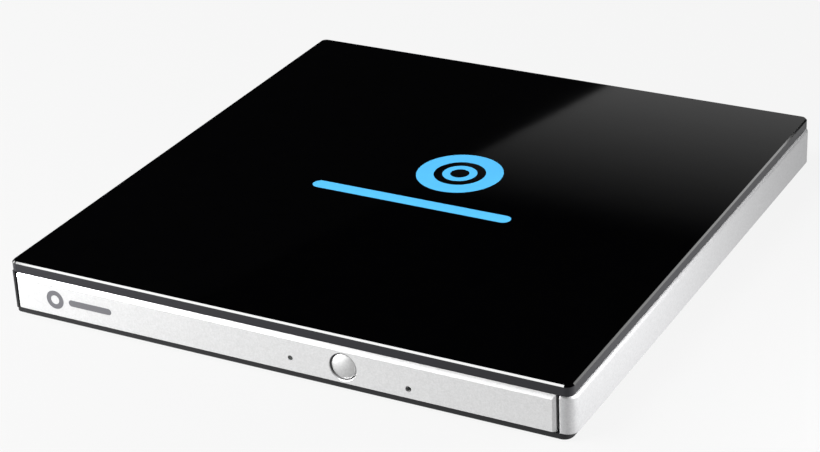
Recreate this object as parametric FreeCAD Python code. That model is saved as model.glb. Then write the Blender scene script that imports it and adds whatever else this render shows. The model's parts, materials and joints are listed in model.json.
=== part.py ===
"""External optical drive: a slim tray-loading disc drive in a glossy black and satin silver desktop case.

Frame: millimetres, +Z up, origin on the resting plane under the centre of the case. The tray opens towards -Y.
Each function builds one sub-part; main() writes each of them to parts/NODE.step.
"""
import FreeCAD
import Part
import math
import os

V = FreeCAD.Vector
Z_AXIS = V(0, 0, 1)

# ---- overall size -------------------------------------------------------------------------------------------
WIDTH = 139.6
DEPTH = 144.0
HEIGHT = 13.5
SIDE = WIDTH / 2
FRONT = -DEPTH / 2
REAR = DEPTH / 2

# ---- outer case: heights ------------------------------------------------------------------------------------
FOOT_PROUD = 0.35
BASE_TOP = 1.6
FRAME_TOP = 10.85
LID_RIM_BOTTOM = 10.95
LID_POCKET_TOP = 12.35
COVER_BOTTOM = 11.35
COVER_TOP = 12.25

# ---- outer case: plan ---------------------------------------------------------------------------------------
LID_SIDE = SIDE - 0.4
LID_REAR = REAR - 0.8
LID_CORNER = 1.7
LID_BEVEL = 0.36
LID_RIM = 2.2
FACE = FRONT + 0.4
FRAME_WALL = 1.6
FRAME_CORNER = 2.8
FRAME_INNER = SIDE - FRAME_WALL
BASE_INSET = 1.0
BASE_CORNER = 2.2
POST_SIDE = SIDE - 0.45
POST_THICK = 0.75
POST_ROUND = 0.35
BASE_WALL_TOP = 4.0
CASE_SCREW_X = 66.2
CASE_SCREW_Y = (-56.0, 58.0)
SCREW_SPLIT = 4.0

# ---- tray front ---------------------------------------------------------------------------------------------
BEZEL_LEFT = -68.5
BEZEL_RIGHT = 65.6
BEZEL_BOTTOM = 1.75
BEZEL_TOP = 10.45
BEZEL_THICK = 2.0
BEZEL_BEVEL_TALL = 1.1
BEZEL_END_BEVEL = 0.75
BEZEL_BEVEL_DEEP = 0.45
BEZEL_BACK = FACE + BEZEL_THICK
BEZEL_ROUND = 0.7
BEZEL_RETURN_END = -67.0
BEZEL_TABS_X = (-52.0, -26.0, 38.0)
RETURN_LEFT = BEZEL_RIGHT + 0.75
RETURN_ROUND = 0.45
BUTTON_X = 16.3
BUTTON_Z = 5.6
BUTTON_R = 2.92
BUTTON_HOLE_R = 3.25
BUTTON_HOLE_EDGE = 0.12
INDICATOR_X = 3.4
INDICATOR_Z = 4.9
INDICATOR_R = 0.6
RELEASE_X = 31.9
RELEASE_Z = 3.95
RELEASE_R = 0.7

# ---- slim drive sheet-metal case ----------------------------------------------------------------------------
SHEET = 0.5
DRIVE_SIDE = 63.6
DRIVE_FRONT = -66.0
DRIVE_REAR = 59.6
DRIVE_FLOOR = 1.8
DRIVE_CEILING = 10.8
WING_X = 54.0
WING_Z = 6.0

# ---- tray and rails -----------------------------------------------------------------------------------------
TRAY_LEFT = -62.7
TRAY_RIGHT = 52.6
TRAY_FRONT = BEZEL_BACK + 0.1
TRAY_REAR = 57.5
TRAY_TOP = 10.3
TRAY_BOTTOM = 6.4
TRAY_EDGE_BOTTOM = 6.9
DISC_FLOOR = 8.2
SMALL_DISC_FLOOR = 7.6
DISC_WELL_R = 60.6
SMALL_DISC_WELL_R = 40.8
LEFT_FACE = -DRIVE_SIDE + SHEET
RIGHT_FACE = WING_X - SHEET
RAIL_Z = (3.2, 6.0)
RAIL_Y = (-60.0, 40.0)
GUIDE_Y = (-64.0, 50.0)
RUN_GAP = 0.1

# ---- spindle and traverse, in the traverse's own frame: u along the sled's travel, v across it ---------------
SPINDLE_X = 0.0
SPINDLE_Y = -5.0
TRAVERSE_ANGLE = 225.0
OPENING_R = 16.5
OPENING_END = 65.0
OPENING_HALF = 16.0
LEDGE = 2.0
LEDGE_Z = 7.2
COVER_PLATE = 0.3
CHASSIS_Z = (5.2, 5.9)
CHASSIS_START = -17.0
CHASSIS_END = 67.5
CHASSIS_HALF = 17.0
BEAM_INNER = 15.6
BEAM_BOTTOM = 3.4
ROD_V = 13.8
ROD_Z = 4.5
ROD_R = 1.0
SCREW_V = 10.6
THREAD_PITCH = 3.0
THREAD_R = 1.5
CORE_R = 1.15
SCREW_SPAN = (15.4, 64.6)
THREAD_INSET = 1.0
LENS_START = 24.0
PICKUP_HALF = 8.0
PICKUP_BOTTOM = 3.1
PICKUP_TOP = 6.8
DAMPERS = ((-13.0, -14.0), (-13.0, 14.0), (70.2, 0.0))
DAMPER_R = 2.6
DAMPER_SCREW_R = 0.8
TURNTABLE_TOP = 9.0
HUB_R = 7.4
HUB_TOP = 10.4
SHAFT_R = 1.0
CLAW_PROUD = 0.2

# ---- latch and ejector --------------------------------------------------------------------------------------
LATCH_PIVOT = (27.0, -56.0)
LATCH_PIN = (47.0, -50.0)
LATCH_PIN_R = 0.9
LATCH_Z = (3.4, 4.6)
LATCH_SWING = 11.0
PLUNGER_ARM = 9.0
EJECTOR_X = 36.0

# ---- boards -------------------------------------------------------------------------------------------------
MAIN_BOARD = (-58.0, 28.0, 27.0, 57.0)
MAIN_BOARD_Z = (2.8, 3.6)
BRIDGE_BOARD = (-34.0, 52.0, 61.2, 68.2)
BRIDGE_BOARD_Z = (2.6, 3.4)
SATA_X = (-28.0, -4.0)
USB_X = 40.0
USB_Z = (3.4, 7.3)
USB_HALF = 3.85
FLEX_X = (-57.0, -43.0)
FLEX_THICK = 0.12


# ---- helpers ------------------------------------------------------------------------------------------------
def box(x0, x1, y0, y1, z0, z1):
    return Part.makeBox(x1 - x0, y1 - y0, z1 - z0, V(x0, y0, z0))


def rod(x, y, z0, z1, r):
    return Part.makeCylinder(r, z1 - z0, V(x, y, z0))


def rod_x(y, z, x0, x1, r):
    return Part.makeCylinder(r, x1 - x0, V(x0, y, z), V(1, 0, 0))


def rod_y(x, z, y0, y1, r):
    return Part.makeCylinder(r, y1 - y0, V(x, y0, z), V(0, 1, 0))


def ring(x, y, z0, z1, inner, outer):
    return rod(x, y, z0, z1, outer).cut(rod(x, y, z0, z1, inner))


def fused(shapes):
    whole = shapes[0].multiFuse(shapes[1:]) if len(shapes) > 1 else shapes[0]
    return whole.removeSplitter()


def cut(shape, tools):
    return shape.cut(Part.makeCompound(tools) if len(tools) > 1 else tools[0])


def upright_edges(shape):
    """The straight edges that stand along Z."""
    found = []
    for edge in shape.Edges:
        a, b = edge.Vertexes[0].Point, edge.Vertexes[-1].Point
        if abs(a.x - b.x) < 1e-6 and abs(a.y - b.y) < 1e-6 and abs(a.z - b.z) > 1e-6:
            found.append(edge)
    return found


def level_edges(shape, z):
    """The edges that lie wholly at height z."""
    return [e for e in shape.Edges if abs(e.BoundBox.ZMin - z) < 1e-6 and abs(e.BoundBox.ZMax - z) < 1e-6]


def slab(x0, x1, y0, y1, z0, z1, corner):
    """A plate with round corners in plan."""
    plate = box(x0, x1, y0, y1, z0, z1)
    return plate.makeFillet(corner, upright_edges(plate))


def prism(points, z0, z1):
    """A polygon in plan, raised from z0 to z1."""
    wire = Part.makePolygon([V(x, y, z0) for x, y in points + points[:1]])
    return Part.Face(wire).extrude(V(0, 0, z1 - z0))


def on_traverse(shape):
    """Takes a shape from the traverse's frame to its place around the spindle."""
    placed = shape.copy()
    placed.rotate(V(0, 0, 0), Z_AXIS, TRAVERSE_ANGLE)
    placed.translate(V(SPINDLE_X, SPINDLE_Y, 0))
    return placed


def traverse_point(u, v):
    angle = math.radians(TRAVERSE_ANGLE)
    x = SPINDLE_X + u * math.cos(angle) - v * math.sin(angle)
    y = SPINDLE_Y + u * math.sin(angle) + v * math.cos(angle)
    return x, y


def turned(shape, x, y, angle):
    placed = shape.copy()
    placed.rotate(V(x, y, 0), Z_AXIS, angle)
    return placed


def mirrored_x(shape):
    return shape.mirror(V(0, 0, 0), V(1, 0, 0))


# ---- outer case ---------------------------------------------------------------------------------------------
def lid_panel():
    """Glossy cover plate with a bevelled top edge and a pocket underneath for the top cover."""
    plate = slab(-LID_SIDE, LID_SIDE, FRONT, LID_REAR, LID_RIM_BOTTOM, HEIGHT, LID_CORNER)
    plate = plate.makeChamfer(LID_BEVEL, level_edges(plate, HEIGHT))
    plate = plate.makeFillet(0.2, level_edges(plate, LID_RIM_BOTTOM))
    inner = LID_SIDE - LID_RIM
    pocket = slab(-inner, inner, FRONT + LID_RIM, LID_REAR - LID_RIM, LID_RIM_BOTTOM - 1, LID_POCKET_TOP, 1.2)
    return plate.cut(pocket)


def lid_adhesive():
    """Double-sided tape frame between the top cover and the lid panel."""
    inner = LID_SIDE - LID_RIM - 1.2
    front = FRONT + LID_RIM + 1.2
    rear = LID_REAR - LID_RIM - 1.2
    band = 9.0
    outside = box(-inner, inner, front, rear, COVER_TOP, LID_POCKET_TOP)
    return outside.cut(box(-inner + band, inner - band, front + band, rear - band, COVER_TOP, LID_POCKET_TOP))


def case_screw_points():
    return [(side * CASE_SCREW_X, y) for side in (-1, 1) for y in CASE_SCREW_Y]


def top_cover():
    """Moulded plate under the lid panel, with a locating skirt for the side frame and four screw posts."""
    edge = LID_SIDE - LID_RIM - 0.2
    front = FRONT + LID_RIM + 0.2
    rear = LID_REAR - LID_RIM - 0.2
    plate = slab(-edge, edge, front, rear, COVER_BOTTOM, COVER_TOP, 1.0)
    skirt_side = FRAME_INNER - 0.2
    skirt_rear = REAR - FRAME_WALL - 0.2
    skirt_wall = 2.0
    skirt_bottom = 9.8
    hoop = slab(-skirt_side, skirt_side, front, skirt_rear, skirt_bottom, FRAME_TOP, 1.4)
    hoop = hoop.cut(box(-skirt_side + skirt_wall, skirt_side - skirt_wall, front - 1, skirt_rear - skirt_wall,
                        skirt_bottom, FRAME_TOP))
    hoop = hoop.cut(box(-SIDE, SIDE, front - 1, -62.0, skirt_bottom, FRAME_TOP))
    neck = slab(-edge, edge, front, rear, FRAME_TOP - 0.4, COVER_BOTTOM, 1.4)
    neck = neck.cut(box(-skirt_side + skirt_wall, skirt_side - skirt_wall, front - 1, skirt_rear - skirt_wall,
                        FRAME_TOP - 0.4, COVER_BOTTOM))
    neck = neck.cut(box(-SIDE, SIDE, front - 1, -62.0, FRAME_TOP - 0.4, COVER_BOTTOM))
    posts = [rod(x, y, SCREW_SPLIT, FRAME_TOP, 1.85) for x, y in case_screw_points()]
    pilots = [rod(x, y, SCREW_SPLIT - 1, 10.2, 0.76) for x, y in case_screw_points()]
    return cut(fused([plate, hoop, neck] + posts), pilots)


def front_edges_at(body, x):
    """The upright edges of a body that stand at x on its front face."""
    near_front = [edge for edge in upright_edges(body) if edge.BoundBox.YMin < FACE + 0.1]
    return [edge for edge in near_front if abs(edge.BoundBox.XMin - x) < 1e-6]


def side_frame():
    """Satin silver wall round the left, rear and right sides, returning round the front right corner."""
    shell = slab(-SIDE, SIDE, FACE, REAR, BASE_TOP, FRAME_TOP, FRAME_CORNER)
    shell = shell.makeFillet(0.9, level_edges(shell, FRAME_TOP))
    shell = shell.makeChamfer(0.3, level_edges(shell, BASE_TOP))
    inner = slab(-FRAME_INNER, FRAME_INNER, FACE + FRAME_WALL, REAR - FRAME_WALL, BASE_TOP - 1, FRAME_TOP + 1,
                 FRAME_CORNER - FRAME_WALL)
    mouth = box(-SIDE - 1, RETURN_LEFT, FACE - 1, FACE + FRAME_WALL + 0.5, BASE_TOP - 1, FRAME_TOP + 1)
    left_end = box(-SIDE - 1, -SIDE + 4, FACE - 1, BEZEL_RETURN_END + 0.4, BASE_TOP - 1, FRAME_TOP + 1)
    window_half = USB_HALF + 0.7
    window_z = (USB_Z[0] - 0.4, USB_Z[1] + 0.4)
    usb_window = box(USB_X - window_half, USB_X + window_half, REAR - 3, REAR + 1, *window_z)
    usb_window = usb_window.makeFillet(0.8, [e for e in usb_window.Edges if e.BoundBox.YLength > 3])
    wall = cut(shell, [inner, mouth, left_end, usb_window])
    return wall.makeFillet(RETURN_ROUND, front_edges_at(wall, RETURN_LEFT))


def foot(x, y, z0, z1, grow):
    half_x = 3.5 + grow
    half_y = 7.0 + grow
    return slab(x - half_x, x + half_x, y - half_y, y + half_y, z0, z1, 3.2)


def foot_points():
    return [(side * 64.4, y) for side in (-1, 1) for y in CASE_SCREW_Y]


def base_cover():
    """Black floor of the case with a low locating wall, screw bosses, ribs and recesses for the feet."""
    side = SIDE - BASE_INSET
    floor = slab(-side, side, FACE, REAR - BASE_INSET, FOOT_PROUD, BASE_TOP, BASE_CORNER)
    floor = floor.makeChamfer(0.25, level_edges(floor, FOOT_PROUD))
    corner = slab(-POST_SIDE, -60.0, FACE + 0.05, -62.0, FOOT_PROUD, BASE_TOP, 0.9)
    corner = corner.makeChamfer(0.25, level_edges(corner, FOOT_PROUD))
    post = slab(-POST_SIDE, -60.0, FACE + 0.05, -60.0, BASE_TOP - 0.1, FRAME_TOP, POST_ROUND)
    post = post.cut(box(-POST_SIDE + POST_THICK, 0.0, FACE - 1, 0.0, BASE_TOP, FRAME_TOP + 1))
    post = post.common(box(-SIDE, -60.0, FACE - 1, BEZEL_RETURN_END + 0.1, BASE_TOP - 0.1, FRAME_TOP))
    wall_side = FRAME_INNER - 0.2
    wall_rear = REAR - FRAME_WALL - 0.2
    wall = 1.2
    wall_front = -64.0
    fence = slab(-wall_side, wall_side, wall_front - 2, wall_rear, BASE_TOP, BASE_WALL_TOP, 1.6)
    fence = fence.cut(box(-wall_side, wall_side, wall_front - 3, wall_front, BASE_TOP, BASE_WALL_TOP))
    fence = fence.cut(box(-wall_side + wall, wall_side - wall, wall_front - 1, wall_rear - wall, BASE_TOP,
                          BASE_WALL_TOP))
    usb_notch = box(USB_X - 5.5, USB_X + 5.5, wall_rear - 3, wall_rear + 1, BRIDGE_BOARD_Z[0], BASE_WALL_TOP)
    fence = fence.cut(usb_notch)
    bosses = [rod(x, y, BASE_TOP, SCREW_SPLIT, 2.0) for x, y in case_screw_points()]
    right_block = slab(64.4, wall_side, BEZEL_BACK + 0.2, -62.2, BASE_TOP, 10.4, 1.2)
    left_block = box(-67.5, -64.4, BEZEL_RETURN_END + 0.5, -62.2, BASE_TOP, 10.4)
    rib_starts = (-52.0, -26.0, 0.0, 26.0, 50.0)
    wing_ribs = [box(WING_X + 1, 63.0, y, y + 1.6, BASE_TOP, WING_Z - 0.1) for y in rib_starts]
    board_posts = [rod(x, 64.6, BASE_TOP, BRIDGE_BOARD_Z[0], 1.6) for x in (-32.0, 49.0)]
    drive_pads = [box(-50.0, 46.0, y, y + 2.0, BASE_TOP, DRIVE_FLOOR) for y in (-50.0, 0.0, 48.0)]
    walls = [floor, corner, post, fence, right_block, left_block]
    body = fused(walls + bosses + wing_ribs + board_posts + drive_pads)
    recesses = [foot(x, y, FOOT_PROUD - 1, FOOT_PROUD + 0.4, 0.1) for x, y in foot_points()]
    head_wells = [rod(x, y, FOOT_PROUD, 2.7, 1.5) for x, y in case_screw_points()]
    shank_holes = [rod(x, y, FOOT_PROUD, SCREW_SPLIT + 1, 0.9) for x, y in case_screw_points()]
    plate_recess = slab(-34.0, 34.0, -24.0, 24.0, FOOT_PROUD - 1, FOOT_PROUD + 0.15, 2.0)
    return cut(body, recesses + head_wells + shank_holes + [plate_recess])


def rubber_feet():
    """Four soft pads that cover the case screws."""
    pads = []
    for x, y in foot_points():
        pad = foot(x, y, 0.0, FOOT_PROUD + 0.4, 0.0)
        pads.append(pad.makeFillet(0.35, level_edges(pad, 0.0)))
    return Part.makeCompound(pads)


def cross_screw(x, y, z0, head_r, head_h, shank_r, length):
    """A screw that points up from a head whose underside starts at z0, with a cross recess in the head."""
    head = rod(x, y, z0, z0 + head_h, head_r)
    head = head.makeFillet(head_h * 0.3, level_edges(head, z0))
    shank = rod(x, y, z0 + head_h, z0 + head_h + length, shank_r)
    shank = shank.makeChamfer(shank_r * 0.3, level_edges(shank, z0 + head_h + length))
    arm = head_r * 0.62
    slot = head_r * 0.16
    deep = head_h * 0.55
    cross = box(x - arm, x + arm, y - slot, y + slot, z0, z0 + deep)
    cross = cross.fuse(box(x - slot, x + slot, y - arm, y + arm, z0, z0 + deep))
    return fused([head, shank]).cut(cross)


def case_screws():
    return Part.makeCompound([cross_screw(x, y, 1.5, 1.35, 1.2, 0.75, 6.8) for x, y in case_screw_points()])


# ---- USB-to-SATA bridge -------------------------------------------------------------------------------------
def bridge_board():
    x0, x1, y0, y1 = BRIDGE_BOARD
    board = slab(x0, x1, y0, y1, BRIDGE_BOARD_Z[0], BRIDGE_BOARD_Z[1], 0.8)
    return cut(board, [rod(x, 64.6, 0, 9, 0.6) for x in (-32.0, 49.0)])


def bridge_chips():
    """Controller, crystal, regulator and capacitors on the bridge board."""
    z = BRIDGE_BOARD_Z[1]
    controller = box(4.0, 11.0, 61.8, 67.8, z, z + 0.9)
    regulator = box(20.0, 24.0, 62.2, 65.4, z, z + 1.2)
    crystal = slab(14.0, 17.2, 62.4, 64.9, z, z + 0.8, 0.5)
    capacitors = [box(x, x + 1.0, 66.0, 66.6, z, z + 0.6) for x in (14.0, 16.4, 18.8, 21.2, 23.6, 26.0)]
    return Part.makeCompound([controller, regulator, crystal] + capacitors)


def usb_socket_shell():
    """Folded steel shell of the small USB socket, open at the rear."""
    front, mouth = 62.0, REAR - 0.5
    wall = 0.35
    low, high = USB_Z
    outer = box(USB_X - USB_HALF, USB_X + USB_HALF, front, mouth, low, high)
    lower_edges = [edge for edge in outer.Edges if edge.BoundBox.YLength > 5 and edge.BoundBox.ZMax < low + 0.1]
    outer = outer.makeChamfer(0.9, lower_edges)
    hollow = box(USB_X - USB_HALF + wall, USB_X + USB_HALF - wall, front + wall, mouth + 1, low + wall, high - wall)
    hollow = hollow.makeChamfer(0.8, [e for e in hollow.Edges
                                      if e.BoundBox.YLength > 5 and e.BoundBox.ZMax < low + wall + 0.1])
    spring_places = (USB_X - 2, USB_X + 2)
    springs = [box(x - 0.5, x + 0.5, 66.0, 69.0, high - wall - 0.1, high + 0.1) for x in spring_places]
    return cut(outer.cut(hollow), springs)


def usb_socket_tongue():
    """Insulator block with its contact tongue and five contacts' ribs."""
    back = box(USB_X - 3.4, USB_X + 3.4, 62.4, 64.4, USB_Z[0] + 1.4, USB_Z[1] - 0.4)
    tongue = box(USB_X - 2.0, USB_X + 2.0, 64.4, 70.0, 4.9, 5.6)
    contacts = [USB_X + step for step in (-1.6, -0.8, 0.0, 0.8, 1.6)]
    ribs = [box(x - 0.15, x + 0.15, 64.4, 69.7, 5.6, 5.75) for x in contacts]
    return fused([back, tongue] + ribs)


def sata_receptacle():
    """Socket on the bridge board that the drive's plug pushes into."""
    x0, x1 = SATA_X
    body = box(x0 - 1, x1 + 1, 60.5, 65.4, BRIDGE_BOARD_Z[1], 6.6)
    return body.cut(box(x0 + 0.9, x1 - 0.9, 60.0, 63.0, 4.4, 5.8))


# ---- slim drive: fixed parts --------------------------------------------------------------------------------
def drive_bottom_case():
    """Folded sheet-metal tray of the slim drive, with a raised wing on the right where only the disc passes."""
    top = DRIVE_CEILING - 0.1
    floor = box(-DRIVE_SIDE, WING_X, DRIVE_FRONT, DRIVE_REAR, DRIVE_FLOOR, DRIVE_FLOOR + SHEET)
    step = box(WING_X - SHEET, WING_X, DRIVE_FRONT, DRIVE_REAR, DRIVE_FLOOR, WING_Z + SHEET)
    wing = box(WING_X - SHEET, DRIVE_SIDE, DRIVE_FRONT, DRIVE_REAR, WING_Z, WING_Z + SHEET)
    left = box(-DRIVE_SIDE, -DRIVE_SIDE + SHEET, DRIVE_FRONT, DRIVE_REAR, DRIVE_FLOOR, top)
    right = box(DRIVE_SIDE - SHEET, DRIVE_SIDE, DRIVE_FRONT, DRIVE_REAR, WING_Z, top)
    rear_low = box(-DRIVE_SIDE, WING_X, DRIVE_REAR - SHEET, DRIVE_REAR, DRIVE_FLOOR, top)
    rear_high = box(WING_X - SHEET, DRIVE_SIDE, DRIVE_REAR - SHEET, DRIVE_REAR, WING_Z, top)
    shell = fused([floor, step, wing, left, right, rear_low, rear_high])
    x0, x1 = SATA_X
    window = box(x0 - 0.4, x1 + 0.4, DRIVE_REAR - 2, DRIVE_REAR + 1, 3.2, 6.6)
    vent_corners = [(x, y) for x in (-8.0, 10.0) for y in (4.0, 8.0, 12.0)]
    vents = [slab(x, x + 12.0, y, y + 1.6, 0, DRIVE_FLOOR + 1, 0.7) for x, y in vent_corners]
    pin_hole = rod(LATCH_PIN[0], LATCH_PIN[1], 0, DRIVE_FLOOR + 1, 0.5)
    screw_places = [(side, y) for side in (-DRIVE_SIDE, DRIVE_SIDE) for y in (-30.0, 30.0)]
    screw_holes = [rod_x(y, 8.6, side - 2, side + 2, 0.62) for side, y in screw_places]
    return cut(shell, [window, pin_hole] + vents + screw_holes)


def drive_top_case():
    """Sheet-metal lid of the slim drive with short lips folded down over the bottom case."""
    gap = 0.05
    lip = 0.4
    side = DRIVE_SIDE + gap + lip
    rear = DRIVE_REAR + gap + lip
    top = DRIVE_CEILING + SHEET
    plate = box(-side, side, DRIVE_FRONT, rear, DRIVE_CEILING, top)
    lips = [box(-side, -side + lip, DRIVE_FRONT, rear, 7.6, DRIVE_CEILING),
            box(side - lip, side, DRIVE_FRONT, rear, 7.6, DRIVE_CEILING),
            box(-side, side, rear - lip, rear, 8.8, DRIVE_CEILING)]
    body = fused([plate] + lips)
    bead = ring(SPINDLE_X, SPINDLE_Y, top - 0.15, top + 1, 44.0, 47.0)
    hub_dimple = rod(SPINDLE_X, SPINDLE_Y, top - 0.15, top + 1, 14.0)
    screw_holes = [rod_x(y, 8.6, x - 2, x + 2, 0.62) for x in (-side, side) for y in (-30.0, 30.0)]
    return cut(body, [bead, hub_dimple] + screw_holes)


def drive_case_screws():
    """Four short screws through the lips of the slim drive's case."""
    face = DRIVE_SIDE + 0.45
    screws = []
    for y in (-30.0, 30.0):
        head = rod_x(y, 8.6, face, face + 0.4, 1.1)
        shank = rod_x(y, 8.6, DRIVE_SIDE - 0.65, face, 0.6)
        slot = box(face + 0.2, face + 1, y - 0.7, y + 0.7, 8.45, 8.75)
        screw = fused([head, shank]).cut(slot)
        screws += [screw, mirrored_x(screw)]
    return Part.makeCompound(screws)


def side_channel(x_open, x_back, z0, z1, y0, y1, wall):
    """A C-section strip along Y: its web is at x_back and it opens towards x_open."""
    low, high = min(x_open, x_back), max(x_open, x_back)
    solid = box(low, high, y0, y1, z0, z1)
    into = wall if x_open > x_back else -wall
    hollow_low, hollow_high = min(x_back + into, x_open + into), max(x_back + into, x_open + into)
    return solid.cut(box(hollow_low, hollow_high, y0 - 1, y1 + 1, z0 + wall, z1 - wall))


def rail_guides():
    """Plastic channels on the bottom case that hold the outer half of each rail."""
    z0 = RAIL_Z[0] - RUN_GAP - 0.6
    z1 = RAIL_Z[1] + RUN_GAP + 0.6
    left = side_channel(LEFT_FACE + 1.8, LEFT_FACE, z0, z1, GUIDE_Y[0], GUIDE_Y[1], 0.6)
    right = side_channel(RIGHT_FACE - 1.8, RIGHT_FACE, z0, z1, GUIDE_Y[0], GUIDE_Y[1], 0.6)
    return Part.makeCompound([left, right])


def slide_rail(face, towards):
    """Folded steel rail, a channel open towards the tray."""
    outer = face + towards * 0.7
    inner = face + towards * 2.6
    return side_channel(inner, outer, RAIL_Z[0], RAIL_Z[1], RAIL_Y[0], RAIL_Y[1], 0.45)


def slide_rail_left():
    return slide_rail(LEFT_FACE, 1)


def slide_rail_right():
    return slide_rail(RIGHT_FACE, -1)


def latch_pin():
    """Riveted pin on the drive's floor that the latch lever hooks behind."""
    x, y = LATCH_PIN
    floor = DRIVE_FLOOR + SHEET
    rivet = rod(x, y, DRIVE_FLOOR, floor, 0.5)
    collar = rod(x, y, floor, floor + 0.4, 1.6)
    return fused([rivet, collar, rod(x, y, floor, 5.4, LATCH_PIN_R)])


def main_board():
    x0, x1, y0, y1 = MAIN_BOARD
    z0, z1 = MAIN_BOARD_Z
    board = box(x0, x1, y0, y1, z0, z1)
    legs = [rod(x, y, DRIVE_FLOOR + SHEET, z0, 1.4) for x in (x0 + 4, x1 - 4) for y in (y0 + 4, y1 - 4)]
    return fused([board] + legs)


def main_board_chips():
    """Drive controller, memory, motor driver, cable connector and capacitors on the main board."""
    z = MAIN_BOARD_Z[1]
    controller = box(-22.0, -8.0, 34.0, 48.0, z, z + 1.2)
    driver = box(4.0, 13.0, 36.0, 45.0, z, z + 1.1)
    memory = box(-40.0, -32.0, 40.0, 52.0, z, z + 1.0)
    connector = box(FLEX_X[0] - 0.5, FLEX_X[1] + 0.5, 29.0, 33.0, z, z + 1.4)
    connector = connector.cut(box(FLEX_X[0] - 0.1, FLEX_X[1] + 0.1, 28.0, 29.3, 4.2, 4.4))
    capacitor_x = (-30.0, -26.0, -20.0, -16.0, -12.0, 2.0, 8.0, 14.0)
    capacitors = [box(x, x + 1.2, 31.0, 31.8, z, z + 0.6) for x in capacitor_x]
    tall = [rod(x, 50.0, z, z + 2.0, 1.6) for x in (6.0, 12.0, 18.0)]
    return Part.makeCompound([controller, driver, memory, connector] + capacitors + tall)


def sata_plug():
    """Plug on the main board that reaches through the drive's rear wall."""
    x0, x1 = SATA_X
    body = box(x0, x1, 54.0, 60.4, MAIN_BOARD_Z[1], 6.2)
    tongue = box(x0 + 1, x1 - 1, 60.4, 62.8, 4.6, 5.6)
    return fused([body, tongue])


def tray_flex_cable():
    """Flat cable folded once between the main board and the tray board."""
    low, high = 2.42, 2.9
    fold_y = -49.0
    path = [(29.2, 4.3), (25.6, 4.3), (24.4, low), (fold_y, low), (fold_y - 0.24, (low + high) / 2), (fold_y, high),
            (4.0, high), (7.0, 5.0), (9.2, 5.0)]
    half = FLEX_THICK / 2
    strips = []
    for (y0, z0), (y1, z1) in zip(path, path[1:]):
        length = math.hypot(y1 - y0, z1 - z0)
        ny, nz = -(z1 - z0) / length * half, (y1 - y0) / length * half
        corners = [V(FLEX_X[0], y0 + ny, z0 + nz), V(FLEX_X[0], y1 + ny, z1 + nz), V(FLEX_X[0], y1 - ny, z1 - nz),
                   V(FLEX_X[0], y0 - ny, z0 - nz)]
        face = Part.Face(Part.makePolygon(corners + corners[:1]))
        strips.append(face.extrude(V(FLEX_X[1] - FLEX_X[0], 0, 0)))
    width = FLEX_X[1] - FLEX_X[0]
    joints = [Part.makeCylinder(half, width, V(FLEX_X[0], y, z), V(1, 0, 0)) for y, z in path[1:-1]]
    return fused(strips + joints)


# ---- tray ---------------------------------------------------------------------------------------------------
def traverse_outline(grow, z0, z1):
    """The keyhole round the spindle and along the pickup's path."""
    end = OPENING_END + grow * 0.7
    half = OPENING_HALF + grow
    keyhole = rod(0, 0, z0, z1, OPENING_R + grow).fuse(box(0, end, -half, half, z0, z1))
    return on_traverse(keyhole.removeSplitter())


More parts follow.
